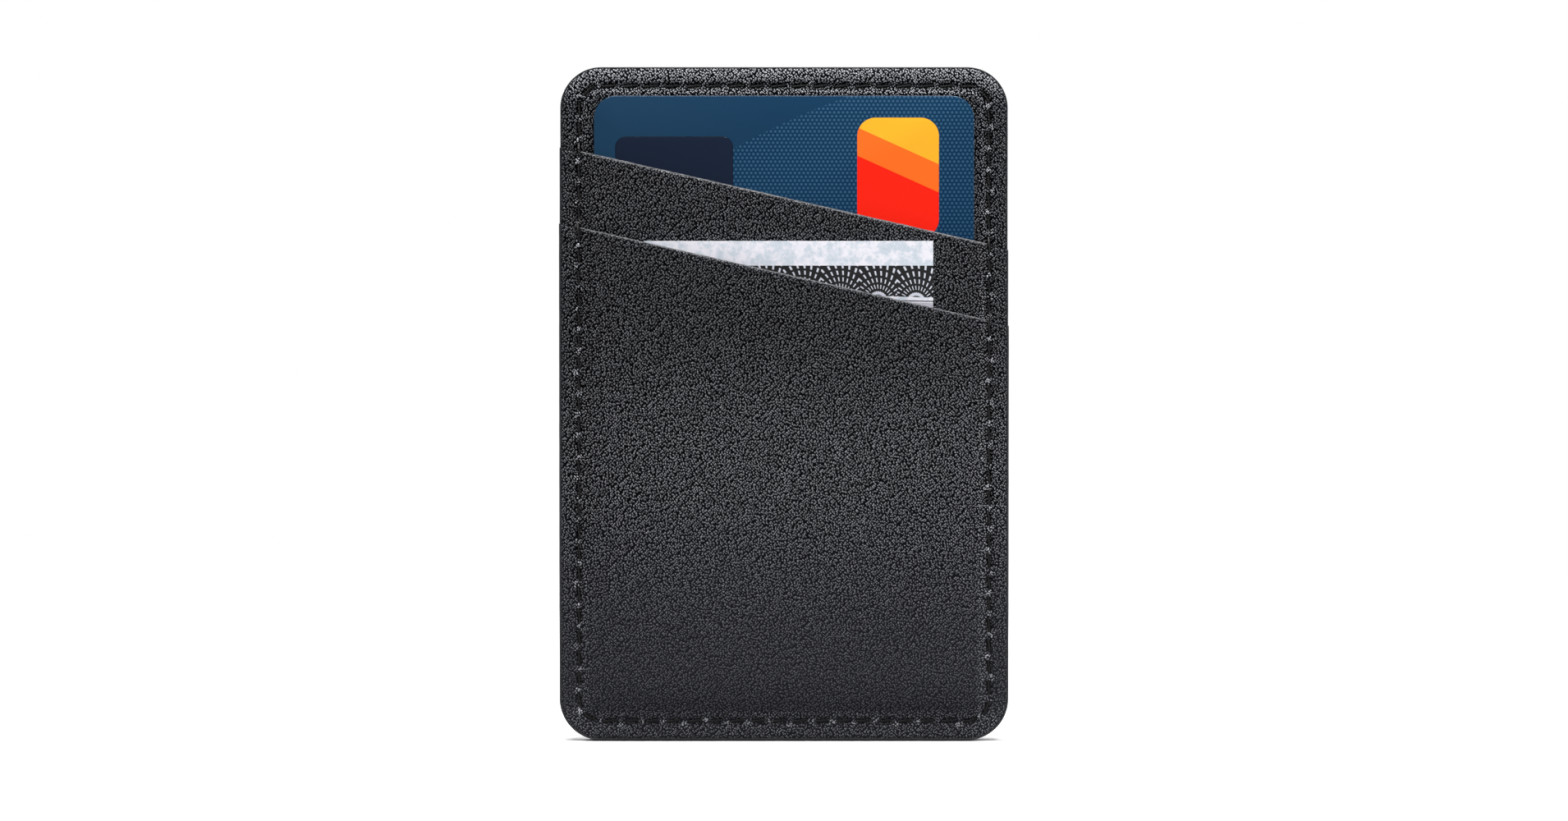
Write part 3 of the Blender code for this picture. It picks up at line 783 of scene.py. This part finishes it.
def note_material():
    """Cotton paper with a mottled white margin, a dark engraved band and a pale ground."""
    n, place = new_material("note_print")
    low, high = (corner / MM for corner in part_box("folded_banknote"))
    x, z = n.parts(place)
    across = n.minus(x, low.x)
    droop = n.step(across, 24.0, 44.0, 0.0, 0.45)
    down = n.minus(high.z, z)
    down = n.minus(down, n.times(droop, n.step(down, 3.4, 6.0)))
    edge = n.math("MINIMUM", down, n.minus(z, low.z))

    fibres = n.noise(place, 3.2, 4.0, 0.6)
    patches = n.step(n.noise(place, 0.9, 3.0, 0.6), 0.36, 0.64)
    paper = n.mix(patches, (0.52, 0.60, 0.69), (0.88, 0.85, 0.93))
    paper = n.mix(n.times(fibres, 0.45), paper, (0.92, 0.94, 0.98))
    ground = n.mix(fibres, (0.42, 0.41, 0.48), (0.60, 0.59, 0.66))

    colour = n.mix(n.step(edge, 8.3, 8.4), paper, ground)
    in_band = n.times(n.step(edge, 3.45, 3.55), n.step(edge, 7.65, 7.55))
    colour = n.mix(in_band, colour, note_band(n, across, edge))
    from_rule = n.math("ABSOLUTE", n.minus(edge, 8.15))
    colour = n.mix(n.step(from_rule, 0.11, 0.05), colour, (0.03, 0.03, 0.04))
    rosette = note_rosette(n, place, ((low.x + high.x) / 2, 0.0, (low.z + high.z) / 2))
    colour = n.mix(n.times(rosette, 0.75), colour, (0.05, 0.07, 0.08))
    haze = n.times(n.step(fibres, 0.3, 0.7), n.line(in_band, -0.1, 0.1))
    colour = n.mix(haze, colour, (0.9, 0.9, 0.95))
    return n.finish(colour, 0.82, fibres, 0.02)


# ---- leather pieces


def build_leather(name, grid, level, lift, mouth, node, seed, lip=0.0):
    """A leather sheet whose front shows, with the seam drawn into it and its edges rounded."""
    x, z = grid
    inset = inset_of(x, z)
    from_seam = inset - SEAM_INSET
    flat = level + lift(x, z)
    body = flat + puff(x, z)
    front = body - sew(x, z, inset) - roll_off(inset)
    front = front + 0.02 * MM * waver(x, z, seed) * smooth(from_seam / (3 * MM))
    if mouth:
        below = mouth.below(x, z)
        on_border = smooth(0.5 - from_seam / (0.5 * MM))
        front = front + lip * bell(below, 1.6 * MM) * smooth(from_seam / (2 * MM))
        front = front - round_over(below, (0.16 + 0.30 * on_border) * MM)
    back = (body if mouth else flat) - LEATHER
    made = sheet(name, grid, np.maximum(front, back + 0.04 * MM), back)
    mark_leather(made, mouth)
    place_piece(made, "holder", "leather", LEATHER_BLACK, node)


def build_leather_pieces():
    build_leather(
        "backing_leather", full_grid(), BORDER_FRONT, lambda x, z: 0.0 * x, None,
        "backing_panel", 3,
    )
    for name, mouth, lift, seed, lip in (
        ("middle", MIDDLE_MOUTH, middle_lift, 5, 0.02 * MM),
        ("front", FRONT_MOUTH, front_lift, 8, 0.10 * MM),
    ):
        node = f"{name}_pocket_panel"
        level = back_of(node) + LEATHER
        piece = f"{name}_pocket_leather"
        build_leather(piece, pocket_grid(mouth), level, lift, mouth, node, seed, lip)


def build_rear_cover():
    """The leather on the back: its sewn and rounded face looks the other way."""
    x, z = full_grid()
    inset = inset_of(x, z)
    inner = np.full(x.shape, front_of("rear_cover"))
    outer = back_of("rear_cover") + sew(x, z, inset) + roll_off(inset)
    outer = np.minimum(outer, inner - 0.04 * MM)
    made = sheet("rear_leather", (x, z), inner, outer, 4, 1)
    mark_leather(made)
    place_piece(made, "holder", "leather", LEATHER_BLACK, "rear_cover")


def build_linings():
    for name, lift, trim in (("middle", middle_lift, 0.08 * MM), ("front", front_lift, 0.13 * MM)):
        node = f"{name}_pocket_lining"
        mouth = Mouth(node)
        mouth.top -= trim
        x, z = pocket_grid(mouth, 0.05 * MM, 11)
        outside = smooth((SEAM_INSET - inset_of(x, z)) / (0.4 * MM) + 0.5)
        z = z - 0.45 * MM * outside * (mouth.below(x, z) < 1.0 * MM)
        back = back_of(node) + lift(x, z) + puff(x, z)
        front = back + 0.15 * MM
        made = sheet(f"{name}_lining", (x, z), front, back, 3, 3)
        place_piece(made, "holder", "lining", LINING, node)


# ---- the painted edge


def stack_front(x, z):
    """Depth of the front of the stack at the outer edge, which steps at each pocket mouth."""
    level = BORDER_FRONT
    for mouth in (MIDDLE_MOUTH, FRONT_MOUTH):
        level = level + POCKET_STEP * smooth(0.5 + mouth.below(x, z) / (0.16 * MM))
    return level


def edge_stations():
    """Places round the outline, as seam distances, closer together at the pocket mouths."""
    runs = [np.linspace(0, SEAM_LENGTH, 560, endpoint=False)]
    for start in (SIDE_RUN, SIDE_RUN + END_RUN + SEAM_ARC):
        for corner in (start, start + SEAM_LENGTH / 2):
            runs.append(corner + np.linspace(0, SEAM_ARC, 33))
    for mouth in (MIDDLE_MOUTH, FRONT_MOUTH):
        left = SIDE_RUN / 2 - mouth.height(-WIDTH / 2) + SIDE_RUN + 2 * SEAM_ARC + END_RUN
        for middle in (left, mouth.height(WIDTH / 2) + SIDE_RUN / 2):
            runs.append(middle + np.linspace(-0.6, 0.6, 17) * MM)
    return sorted(set(np.round(np.concatenate(runs), 7)))


def build_edge():
    """The painted edge: a band that bulges a little and wraps over the rim of the leather."""
    back = back_of("rear_cover") + 0.20 * MM
    full_stack = BORDER_FRONT + 2 * POCKET_STEP
    shares = np.linspace(0, 1, 15)
    stations = edge_stations()
    points = []
    for distance in stations:
        x, z = seam_point(distance, -SEAM_INSET)
        stack = float(stack_front(x, z))
        front = stack - 0.20 * MM
        swell = 0.012 * MM * waver(x, z, 21, 0.4)
        swell -= 0.07 * MM * (full_stack - stack) / POCKET_STEP
        for share in shares:
            turn = math.pi * (share - 0.5)
            bulge = abs(math.cos(turn)) ** 0.35
            inset = (LAYER_INSET + 0.10 * MM) * (1 - bulge) - swell * bulge + 0.012 * MM
            tilt = math.copysign(abs(math.sin(turn)) ** 0.6, turn)
            px, pz = seam_point(distance, inset - SEAM_INSET)
            points.append((px, -(front + back + (front - back) * tilt) / 2, pz))
        px, pz = seam_point(distance, LAYER_INSET + 0.13 * MM - SEAM_INSET)
        points.append((px, 0.02 * MM - front, pz))
        points.append((px, -0.02 * MM - back, pz))
    faces = ring_faces(0, len(stations), len(shares) + 2, closed=True)
    made = mesh_object("painted_edge", points, faces, 60.0)
    place_piece(made, "holder", "edge_paint", EDGE_PAINT, "edge_paint")


# ---- the stitches


def seam_level(x, z):
    """Depth of the face the front thread lies on: it climbs onto each pocket at its mouth."""
    level = BORDER_FRONT
    for mouth in (MIDDLE_MOUTH, FRONT_MOUTH):
        above = z - mouth.height(x)
        level += POCKET_STEP * float(smooth((1.4 * MM - above) / (1.1 * MM)))
    return level


STITCH_SAMPLES = 17
STRAND_SIDES = 7
STRANDS = 3
STRAND_RADIUS = 0.105 * MM
TWIST_RADIUS = 0.095 * MM
TWISTS = 2.4


def stitch_middle(start, share, level, sign):
    """A point on the middle of one stitch, between two needle holes, and its inward direction.

    Each stitch lies on the floor of its slot, and dives under the lip of leather at both ends.
    """
    distance = start + PITCH * share
    inward = SLOT_SLANT * PITCH * (share - 0.5)
    x, z = seam_point(distance, inward)
    inner_x, inner_z = seam_point(distance, inward + 0.1 * MM)
    dive = 1 - float(smooth(min(share, 1 - share) / 0.22))
    depth = level(x, z) - sign * (0.42 + 0.25 * dive) * MM
    inner = Vector((inner_x - x, 0.0, inner_z - z)).normalized()
    return Vector((x, -depth, z)), inner


def build_stitches(name, node, level, sign):
    """Every stitch of one thread: three plies twisted together, sunk into a hole at each end."""
    points = []
    faces = []
    last = STITCH_SAMPLES - 1
    corners = [2 * math.pi * corner / STRAND_SIDES for corner in range(STRAND_SIDES)]
    for stitch in range(STITCHES):
        start = stitch * PITCH
        path = [stitch_middle(start, k / last, level, sign) for k in range(STITCH_SAMPLES)]
        for strand in range(STRANDS):
            first = len(points)
            for sample, (centre, inner) in enumerate(path):
                tangent = path[min(sample + 1, last)][0] - path[max(sample - 1, 0)][0]
                tangent.normalize()
                up = inner.cross(tangent).normalized()
                side = tangent.cross(up)
                twist = 2 * math.pi * (TWISTS * sample / last + strand / STRANDS)
                middle = centre + (side * math.cos(twist) + up * math.sin(twist)) * TWIST_RADIUS
                for angle in corners:
                    out = side * math.cos(angle) + up * math.sin(angle)
                    points.append(middle + out * STRAND_RADIUS)
            faces += ring_faces(first, STITCH_SAMPLES, STRAND_SIDES)
            foot = tuple(range(first, first + STRAND_SIDES))
            head = tuple(corner + last * STRAND_SIDES for corner in foot)
            faces += [foot[::-1], head]
    made = mesh_object(name, points, faces, 60.0)
    place_piece(made, "holder", "thread", THREAD, node)


def build_seam():
    build_stitches("needle_stitches", "needle_thread", seam_level, 1)
    rear = back_of("rear_cover")
    build_stitches("bobbin_stitches", "bobbin_thread", lambda x, z: rear, -1)


# ---- plates, card and chip


def rounded_loop(size, radius, centre=(0.0, 0.0), inset=0.0, steps=14):
    """A rounded rectangle's outline, anticlockwise seen from the front."""
    reach = max(radius - inset, 0.02 * MM)
    points = []
    for quarter, (side_x, side_z) in enumerate(CORNERS):
        x = centre[0] + side_x * (size[0] / 2 - radius)
        z = centre[1] + side_z * (size[1] / 2 - radius)
        for step in range(steps + 1):
            angle = (quarter + step / steps) * math.pi / 2
            points.append((x + reach * math.cos(angle), z + reach * math.sin(angle)))
    return points


def add_loop(work, outline, depth):
    return [work.verts.new((x, -depth, z)) for x, z in outline]


def bridge(work, *loops):
    """Walls from each loop to the next."""
    for here, there in zip(loops, loops[1:]):
        for k in range(len(here)):
            ahead = (k + 1) % len(here)
            work.faces.new((here[k], here[ahead], there[ahead], there[k]))


def add_slab(work, size, radius, centre, back, front, edge, hollows=()):
    """A plate with rounded edges and, if asked for, hollows cut into its front."""
    rounding = [math.radians(angle) for angle in (0, 22.5, 45, 67.5, 90)]
    loops = []
    for level, inwards, angles in ((back, 1, rounding), (front, -1, rounding[::-1])):
        for angle in angles:
            outline = rounded_loop(size, radius, centre, edge * (1 - math.sin(angle)))
            depth = level + inwards * edge * (1 - math.cos(angle))
            loops.append(add_loop(work, outline, depth))
    bridge(work, *loops)
    work.faces.new(loops[0][::-1])
    if not hollows:
        work.faces.new(loops[-1])
        return
    rims = [loops[-1]]
    for hollow_size, hollow_radius, hollow_centre, hollow_depth in hollows:
        outline = rounded_loop(hollow_size, hollow_radius, hollow_centre)
        rim = add_loop(work, outline, front)
        floor = add_loop(work, outline, front - hollow_depth)
        bridge(work, rim, floor)
        work.faces.new(floor)
        rims.append(rim)
    edges = []
    for rim in rims:
        for pair in zip(rim, rim[1:] + rim[:1]):
            edges.append(work.edges.get(pair) or work.edges.new(pair))
    filled = bmesh.ops.triangle_fill(work, edges=edges, use_beauty=True, normal=(0, -1, 0))
    for item in filled["geom"]:
        if isinstance(item, bmesh.types.BMFace) and item.normal.y > 0:
            item.normal_flip()


def object_from(work, name, smooth_angle=35.0):
    bmesh.ops.recalc_face_normals(work, faces=work.faces)
    mesh = bpy.data.meshes.new(name)
    work.to_mesh(mesh)
    work.free()
    return link(name, mesh, smooth_angle)


def middle_of(node):
    low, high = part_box(node)
    return ((low.x + high.x) / 2, (low.z + high.z) / 2)


def size_of(node):
    low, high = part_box(node)
    return (high.x - low.x, high.z - low.z)


def slab_like(node, radius, front, edge, *hollows):
    """The slab that fills a CAD node's place, up to its own front."""
    return (size_of(node), radius, middle_of(node), back_of(node), front, edge, hollows)


def build_plate(name, slabs, *placing):
    """One piece of the card, made of slabs."""
    work = bmesh.new()
    for slab in slabs:
        add_slab(work, *slab)
    place_piece(object_from(work, name), "card", *placing)


INLAY_GAP = 0.03 * MM
CARD_RADIUS = 3.18 * MM
SENSOR_RADIUS = 1.5 * MM
CHIP_RADIUS = 1.6 * MM


def build_card():
    front = front_of("card_body")
    sensor = "card_fingerprint_sensor"
    hollows = []
    for node, radius in (("card_chip", CHIP_RADIUS), (sensor, SENSOR_RADIUS)):
        size = [side + 2 * INLAY_GAP for side in size_of(node)]
        depth = front - back_of(node) + INLAY_GAP
        hollows.append((size, radius + INLAY_GAP, middle_of(node), depth))
    body = slab_like("card_body", CARD_RADIUS, front, 0.07 * MM, *hollows)
    build_plate("bank_card", [body], "card", CARD_PRINT, "card_body")
    window = slab_like(sensor, SENSOR_RADIUS, front - 0.01 * MM, 0.05 * MM)
    build_plate("fingerprint_sensor", [window], "sensor", SENSOR_WINDOW, sensor)


def build_chip():
    """The contact plate: eight gold pads round a middle one, with cut lines between them."""
    width, height = size_of("card_chip")
    x, z = middle_of("card_chip")
    front = front_of("card_chip")
    line = 0.16 * MM
    rim = 0.25 * MM
    rounding = 0.02 * MM
    carrier = slab_like("card_chip", CHIP_RADIUS, front - 0.06 * MM, rounding)
    build_plate("chip_carrier", [carrier], "chip", CHIP_GAPS)

    column = (width - 2 * rim - 3 * line) / 4
    row = (height - 2 * rim - 2 * line) * 0.36
    pads = []
    for pad_z in (z - height / 2 + rim + row / 2, z + height / 2 - rim - row / 2):
        for index in range(4):
            pad_x = x - width / 2 + rim + column / 2 + index * (column + line)
            pads.append(((column, row), (pad_x, pad_z)))
    pads.append(((width - 2 * rim, height - 2 * (rim + row + line)), (x, z)))
    depths = (front - 0.08 * MM, front - 0.01 * MM)
    contacts = [(size, 0.45 * MM, centre, *depths, rounding) for size, centre in pads]
    build_plate("chip_contacts", contacts, "chip", CHIP_GOLD, "card_chip")


# ---- the banknote

PAPER = 0.12 * MM
PLY_PITCH = 0.18 * MM
FOLD_STEPS = 8


def note_path():
    """The middle of the paper seen from its end, as (x, depth, outward x, outward depth)."""
    low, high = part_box("folded_banknote")
    fold = PLY_PITCH / 2
    left = low.x + fold + PAPER / 2
    right = high.x - fold - PAPER / 2
    back = -high.y + PAPER / 2
    path = [(x, back, 0.0, -1.0) for x in np.linspace(low.x + fold, right, 30)[:-1]]
    for end, side, ply_end in ((right, 1, left), (left, -1, high.x)):
        for step in range(FOLD_STEPS + 1):
            angle = math.pi * step / FOLD_STEPS - math.pi / 2
            out_x, turn = math.cos(angle), math.sin(angle)
            depth = back + (2 - side) * fold + fold * turn
            path.append((end + side * fold * out_x, depth, out_x, side * turn))
        ply = np.linspace(end, ply_end, 30)[1 : None if side < 0 else -1]
        path += [(x, back + (3 - side) * fold, 0.0, side) for x in ply]
    return path


def note_bow(x, z):
    """How far the whole note bends forwards: a soft bow with a little crumple."""
    low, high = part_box("folded_banknote")
    across = (x - (low.x + high.x) / 2) / (high.x - low.x)
    return 0.05 * MM * math.cos(math.pi * across) + 0.025 * MM * float(waver(x, z, 31, 1.2))


def build_note():
    low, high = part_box("folded_banknote")
    path = note_path()
    ring = 2 * len(path)
    rows = np.linspace(low.z, high.z, 44)
    points = []
    for z in rows:
        for half, way in ((PAPER / 2, path), (-PAPER / 2, path[::-1])):
            for x, depth, out_x, out_depth in way:
                forwards = depth + half * out_depth + note_bow(x, z)
                points.append((x + half * out_x, -forwards, z))
    faces = ring_faces(0, len(rows), ring)
    for start in (0, ring * (len(rows) - 1)):
        for k in range(len(path) - 1):
            end = start + ring - 1 - k
            faces.append((start + k, start + k + 1, end - 1, end))
    made = mesh_object("banknote", points, faces, 50.0)
    work = bmesh.new()
    work.from_mesh(made.data)
    bmesh.ops.recalc_face_normals(work, faces=work.faces)
    work.to_mesh(made.data)
    work.free()
    place_piece(made, "banknote", "note", NOTE_PRINT, "folded_banknote")


# ---- adhesive and liner


def build_adhesive():
    """Foam tape: its cut edge bulges a little between its two skins."""
    node = "adhesive_pad"
    back = back_of(node)
    thickness = front_of(node) - back
    work = bmesh.new()
    loops = []
    for share in np.linspace(0, 1, 13):
        bulge = 0.10 * MM * math.sin(math.pi * share) ** 0.7
        outline = rounded_loop(size_of(node), 4.0 * MM, middle_of(node), 0.08 * MM - bulge)
        loops.append(add_loop(work, outline, back + thickness * share))
    bridge(work, *loops)
    work.faces.new(loops[0][::-1])
    work.faces.new(loops[-1])
    place_piece(object_from(work, "adhesive_tape"), "holder", "adhesive", ADHESIVE, node)


LINER_RADIUS = 5.0 * MM
TAB_LEFT = 7.0 * MM
TAB_RIGHT = 21.0 * MM
TAB_RADIUS = 3.0 * MM


def liner_outline():
    """The liner's outline with its pull tab, anticlockwise from the low right corner."""
    low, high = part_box("release_liner")
    foot = -high.z
    side = high.x - LINER_RADIUS
    top = high.z - LINER_RADIUS
    bottom = foot + LINER_RADIUS
    tab_foot = low.z + TAB_RADIUS
    fillet = 0.5 * MM
    arcs = (
        ((side, bottom), LINER_RADIUS, -90, 0, 10),
        ((side, top), LINER_RADIUS, 0, 90, 10),
        ((-side, top), LINER_RADIUS, 90, 180, 10),
        ((-side, bottom), LINER_RADIUS, 180, 270, 10),
        ((TAB_LEFT - fillet, foot - fillet), fillet, 90, 0, 4),
        ((TAB_LEFT + TAB_RADIUS, tab_foot), TAB_RADIUS, 180, 270, 10),
        ((TAB_RIGHT - TAB_RADIUS, tab_foot), TAB_RADIUS, 270, 360, 10),
        ((TAB_RIGHT + fillet, foot - fillet), fillet, 180, 90, 4),
    )
    points = []
    for (x, z), radius, start, end, steps in arcs:
        for angle in np.radians(np.linspace(start, end, steps + 1)):
            points.append((x + radius * math.cos(angle), z + radius * math.sin(angle)))
    return points


LINER_BEND_END = 0.0355


def build_liner():
    """Coated paper, cut into rows, close together above LINER_BEND_END, with its pull tab standing
    a little off the tape.
    """
    node = "release_liner"
    low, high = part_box(node)
    work = bmesh.new()
    work.faces.new(add_loop(work, liner_outline(), 0.0))
    levels = list(np.arange(LINER_BEND_END, high.z, 0.4 * MM))
    levels += list(np.linspace(low.z + 0.5 * MM, LINER_BEND_END - 2 * MM, 28))
    cuts = [((0, 0, level), (0, 0, 1)) for level in levels]
    cuts += [((line, 0, 0), (1, 0, 0)) for line in np.linspace(-21, 21, 7) * MM]
    for place, facing in cuts:
        everything = work.verts[:] + work.edges[:] + work.faces[:]
        bmesh.ops.bisect_plane(work, geom=everything, plane_co=place, plane_no=facing)
    made = object_from(work, "release_paper", 60.0)
    solidify = made.modifiers.new("paper", "SOLIDIFY")
    solidify.thickness = 0.12 * MM
    solidify.offset = 0.0
    bpy.context.view_layer.objects.active = made
    with bpy.context.temp_override(object=made, active_object=made):
        bpy.ops.object.modifier_apply(modifier="paper")
    made.data.set_sharp_from_angle(angle=math.radians(35.0))

    points = piece_points(made).astype(float)
    tab_height = -high.z - low.z
    towards_tab = smooth((-high.z - points[:, 2]) / (tab_height - 0.1 * MM))
    points[:, 1] += (0.30 * towards_tab - 0.06) * MM
    made.data.vertices.foreach_set("co", points.ravel())
    made.data.update()
    made.data.materials.append(LINER_PAPER)
    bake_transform(made)
    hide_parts(node)


def finish_hidden_parts():
    """The CAD parts whose plain shape is right keep it, and get their materials."""
    for node, material in (
        ("stiffener_board", BOARD),
        ("card_magnetic_stripe", MAGNETIC_STRIPE),
        ("card_signature_strip", SIGNATURE_STRIP),
    ):
        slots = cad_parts[node].data.materials
        slots.clear()
        slots.append(material)


# ---- the scene round it


def build_stage():
    """A pale floor that fades out, so that no horizon shows behind the object."""
    bpy.ops.mesh.primitive_circle_add(vertices=96, radius=0.5, fill_type="NGON")
    floor = bpy.context.object
    floor.name = "floor"
    floor.location.z = CAD_BOX[0].z - 0.05 * MM
    n = Nodes(bpy.data.materials.new("pale_floor"))
    distance = n.vector("LENGTH", n.add("TexCoord").outputs["Object"])
    seen = n.add("LightPath").outputs["Is Camera Ray"]
    colour = n.mix(seen, (0.34, 0.34, 0.34), (0.90, 0.90, 0.905))
    pale = n.add("BsdfPrincipled", Base_Color=colour, Roughness=0.75)
    faded = n.mix_shaders(n.step(distance, 0.08, 0.42), pale, n.add("BsdfTransparent"))
    n.add("OutputMaterial", Surface=faded)
    floor.data.materials.append(n.owner)


def build_world():
    """White behind the object, and a dim soft surround for everything it lights."""
    n = Nodes(bpy.data.worlds.new("studio"))
    bpy.context.scene.world = n.owner
    dim = n.add("Background", Color=(0.93, 0.96, 1.0), Strength=0.05)
    white = n.add("Background", Color=(1.0, 1.0, 1.0))
    seen = n.add("LightPath").outputs["Is Camera Ray"]
    n.add("OutputWorld", Surface=n.mix_shaders(seen, dim, white))


def add_aimed(name, data, place, aim=(0.0, 0.0, 0.0)):
    made = bpy.data.objects.new(name, data)
    made.location = place
    towards = Vector(aim) - Vector(place)
    made.rotation_euler = towards.to_track_quat("-Z", "Y").to_euler()
    bpy.context.scene.collection.objects.link(made)
    return made


def add_softbox(name, place, size, watts):
    light = bpy.data.lights.new(name, "AREA")
    light.shape = "RECTANGLE"
    light.size, light.size_y = size
    light.energy = watts
    add_aimed(name, light, place)


def add_spot(name, place, watts, cone, aim):
    """A snooted lamp with a wholly soft rim, for a highlight that fades across the object."""
    light = bpy.data.lights.new(name, "SPOT")
    light.spot_size = math.radians(cone)
    light.spot_blend = 1.0
    light.shadow_soft_size = 0.05
    light.energy = watts
    add_aimed(name, light, place, aim)


def build_lights():
    add_softbox("key_above", (0.10, -0.42, 0.42), (0.10, 0.10), 0.9)
    add_spot("key_centre", (0.16, -0.44, 0.38), 5.6, 9.0, (0.015, 0.0, -0.009))
    add_softbox("overhead", (0.0, -0.10, 0.50), (0.50, 0.25), 5.6)
    add_softbox("side_left", (-0.60, -0.12, 0.12), (0.25, 0.45), 0.25)
    add_softbox("side_right", (0.60, -0.12, 0.10), (0.25, 0.45), 1.0)
    add_softbox("rear_left", (-0.45, 0.45, 0.35), (0.35, 0.35), 3.4)
    add_softbox("rear_right", (0.50, 0.40, 0.25), (0.35, 0.35), 2.6)


def build_camera():
    camera = bpy.data.cameras.new("camera")
    camera.lens = 100.0
    camera.sensor_width = 36.0
    camera.clip_start = 0.01
    camera.clip_end = 10.0
    distance = 0.62
    drop = math.radians(1.5)
    aim = Vector((0.0, -3.0 * MM, -1.0 * MM))
    place = aim + distance * Vector((0.0, -math.cos(drop), math.sin(drop)))
    bpy.context.scene.camera = add_aimed("camera", camera, place, aim)


LEATHER_BLACK = leather_material()
EDGE_PAINT = edge_material()
LINING = lining_material()
THREAD = speckled_material(
    "black_thread", (16.0,), (0.002, 0.002, 0.0025), (0.008, 0.008, 0.010), 0.40, 0.015,
    Specular_IOR_Level=0.5,
)
BOARD = speckled_material(
    "fibre_board", (2.0, 6.0, 0.7), (0.22, 0.17, 0.11), (0.38, 0.31, 0.22), 0.9, 0.05
)
CARD_PRINT = card_material()
SENSOR_WINDOW = speckled_material(
    "sensor_window", (20.0, 1.0), (0.0085, 0.0150, 0.0330), (0.0115, 0.0190, 0.0400), 0.16,
    0.001,
)
CHIP_GOLD = speckled_material(
    "chip_gold", (1.0, 3.0), (0.78, 0.55, 0.22), (0.90, 0.70, 0.36), (0.15, 0.18), 0.004,
    stretch=(3.0, 1.0, 40.0), Metallic=1.0,
)
CHIP_GAPS = speckled_material(
    "chip_gaps", (12.0,), (0.05, 0.035, 0.015), (0.12, 0.085, 0.035), 0.5, Metallic=0.6
)
MAGNETIC_STRIPE = speckled_material(
    "magnetic_stripe", (1.0, 3.0), (0.006, 0.005, 0.005), (0.022, 0.018, 0.016), (0.2, 0.22),
    stretch=(30.0, 1.0, 0.8),
)
SIGNATURE_STRIP = signature_material()
ADHESIVE = adhesive_material()
LINER_PAPER = liner_material()
NOTE_PRINT = note_material()

build_leather_pieces()
build_rear_cover()
build_linings()
build_edge()
build_seam()
build_card()
build_chip()
build_note()
build_adhesive()
build_liner()
finish_hidden_parts()

build_stage()
build_world()
build_lights()
build_camera()
bpy.context.scene.view_settings.view_transform = "Standard"
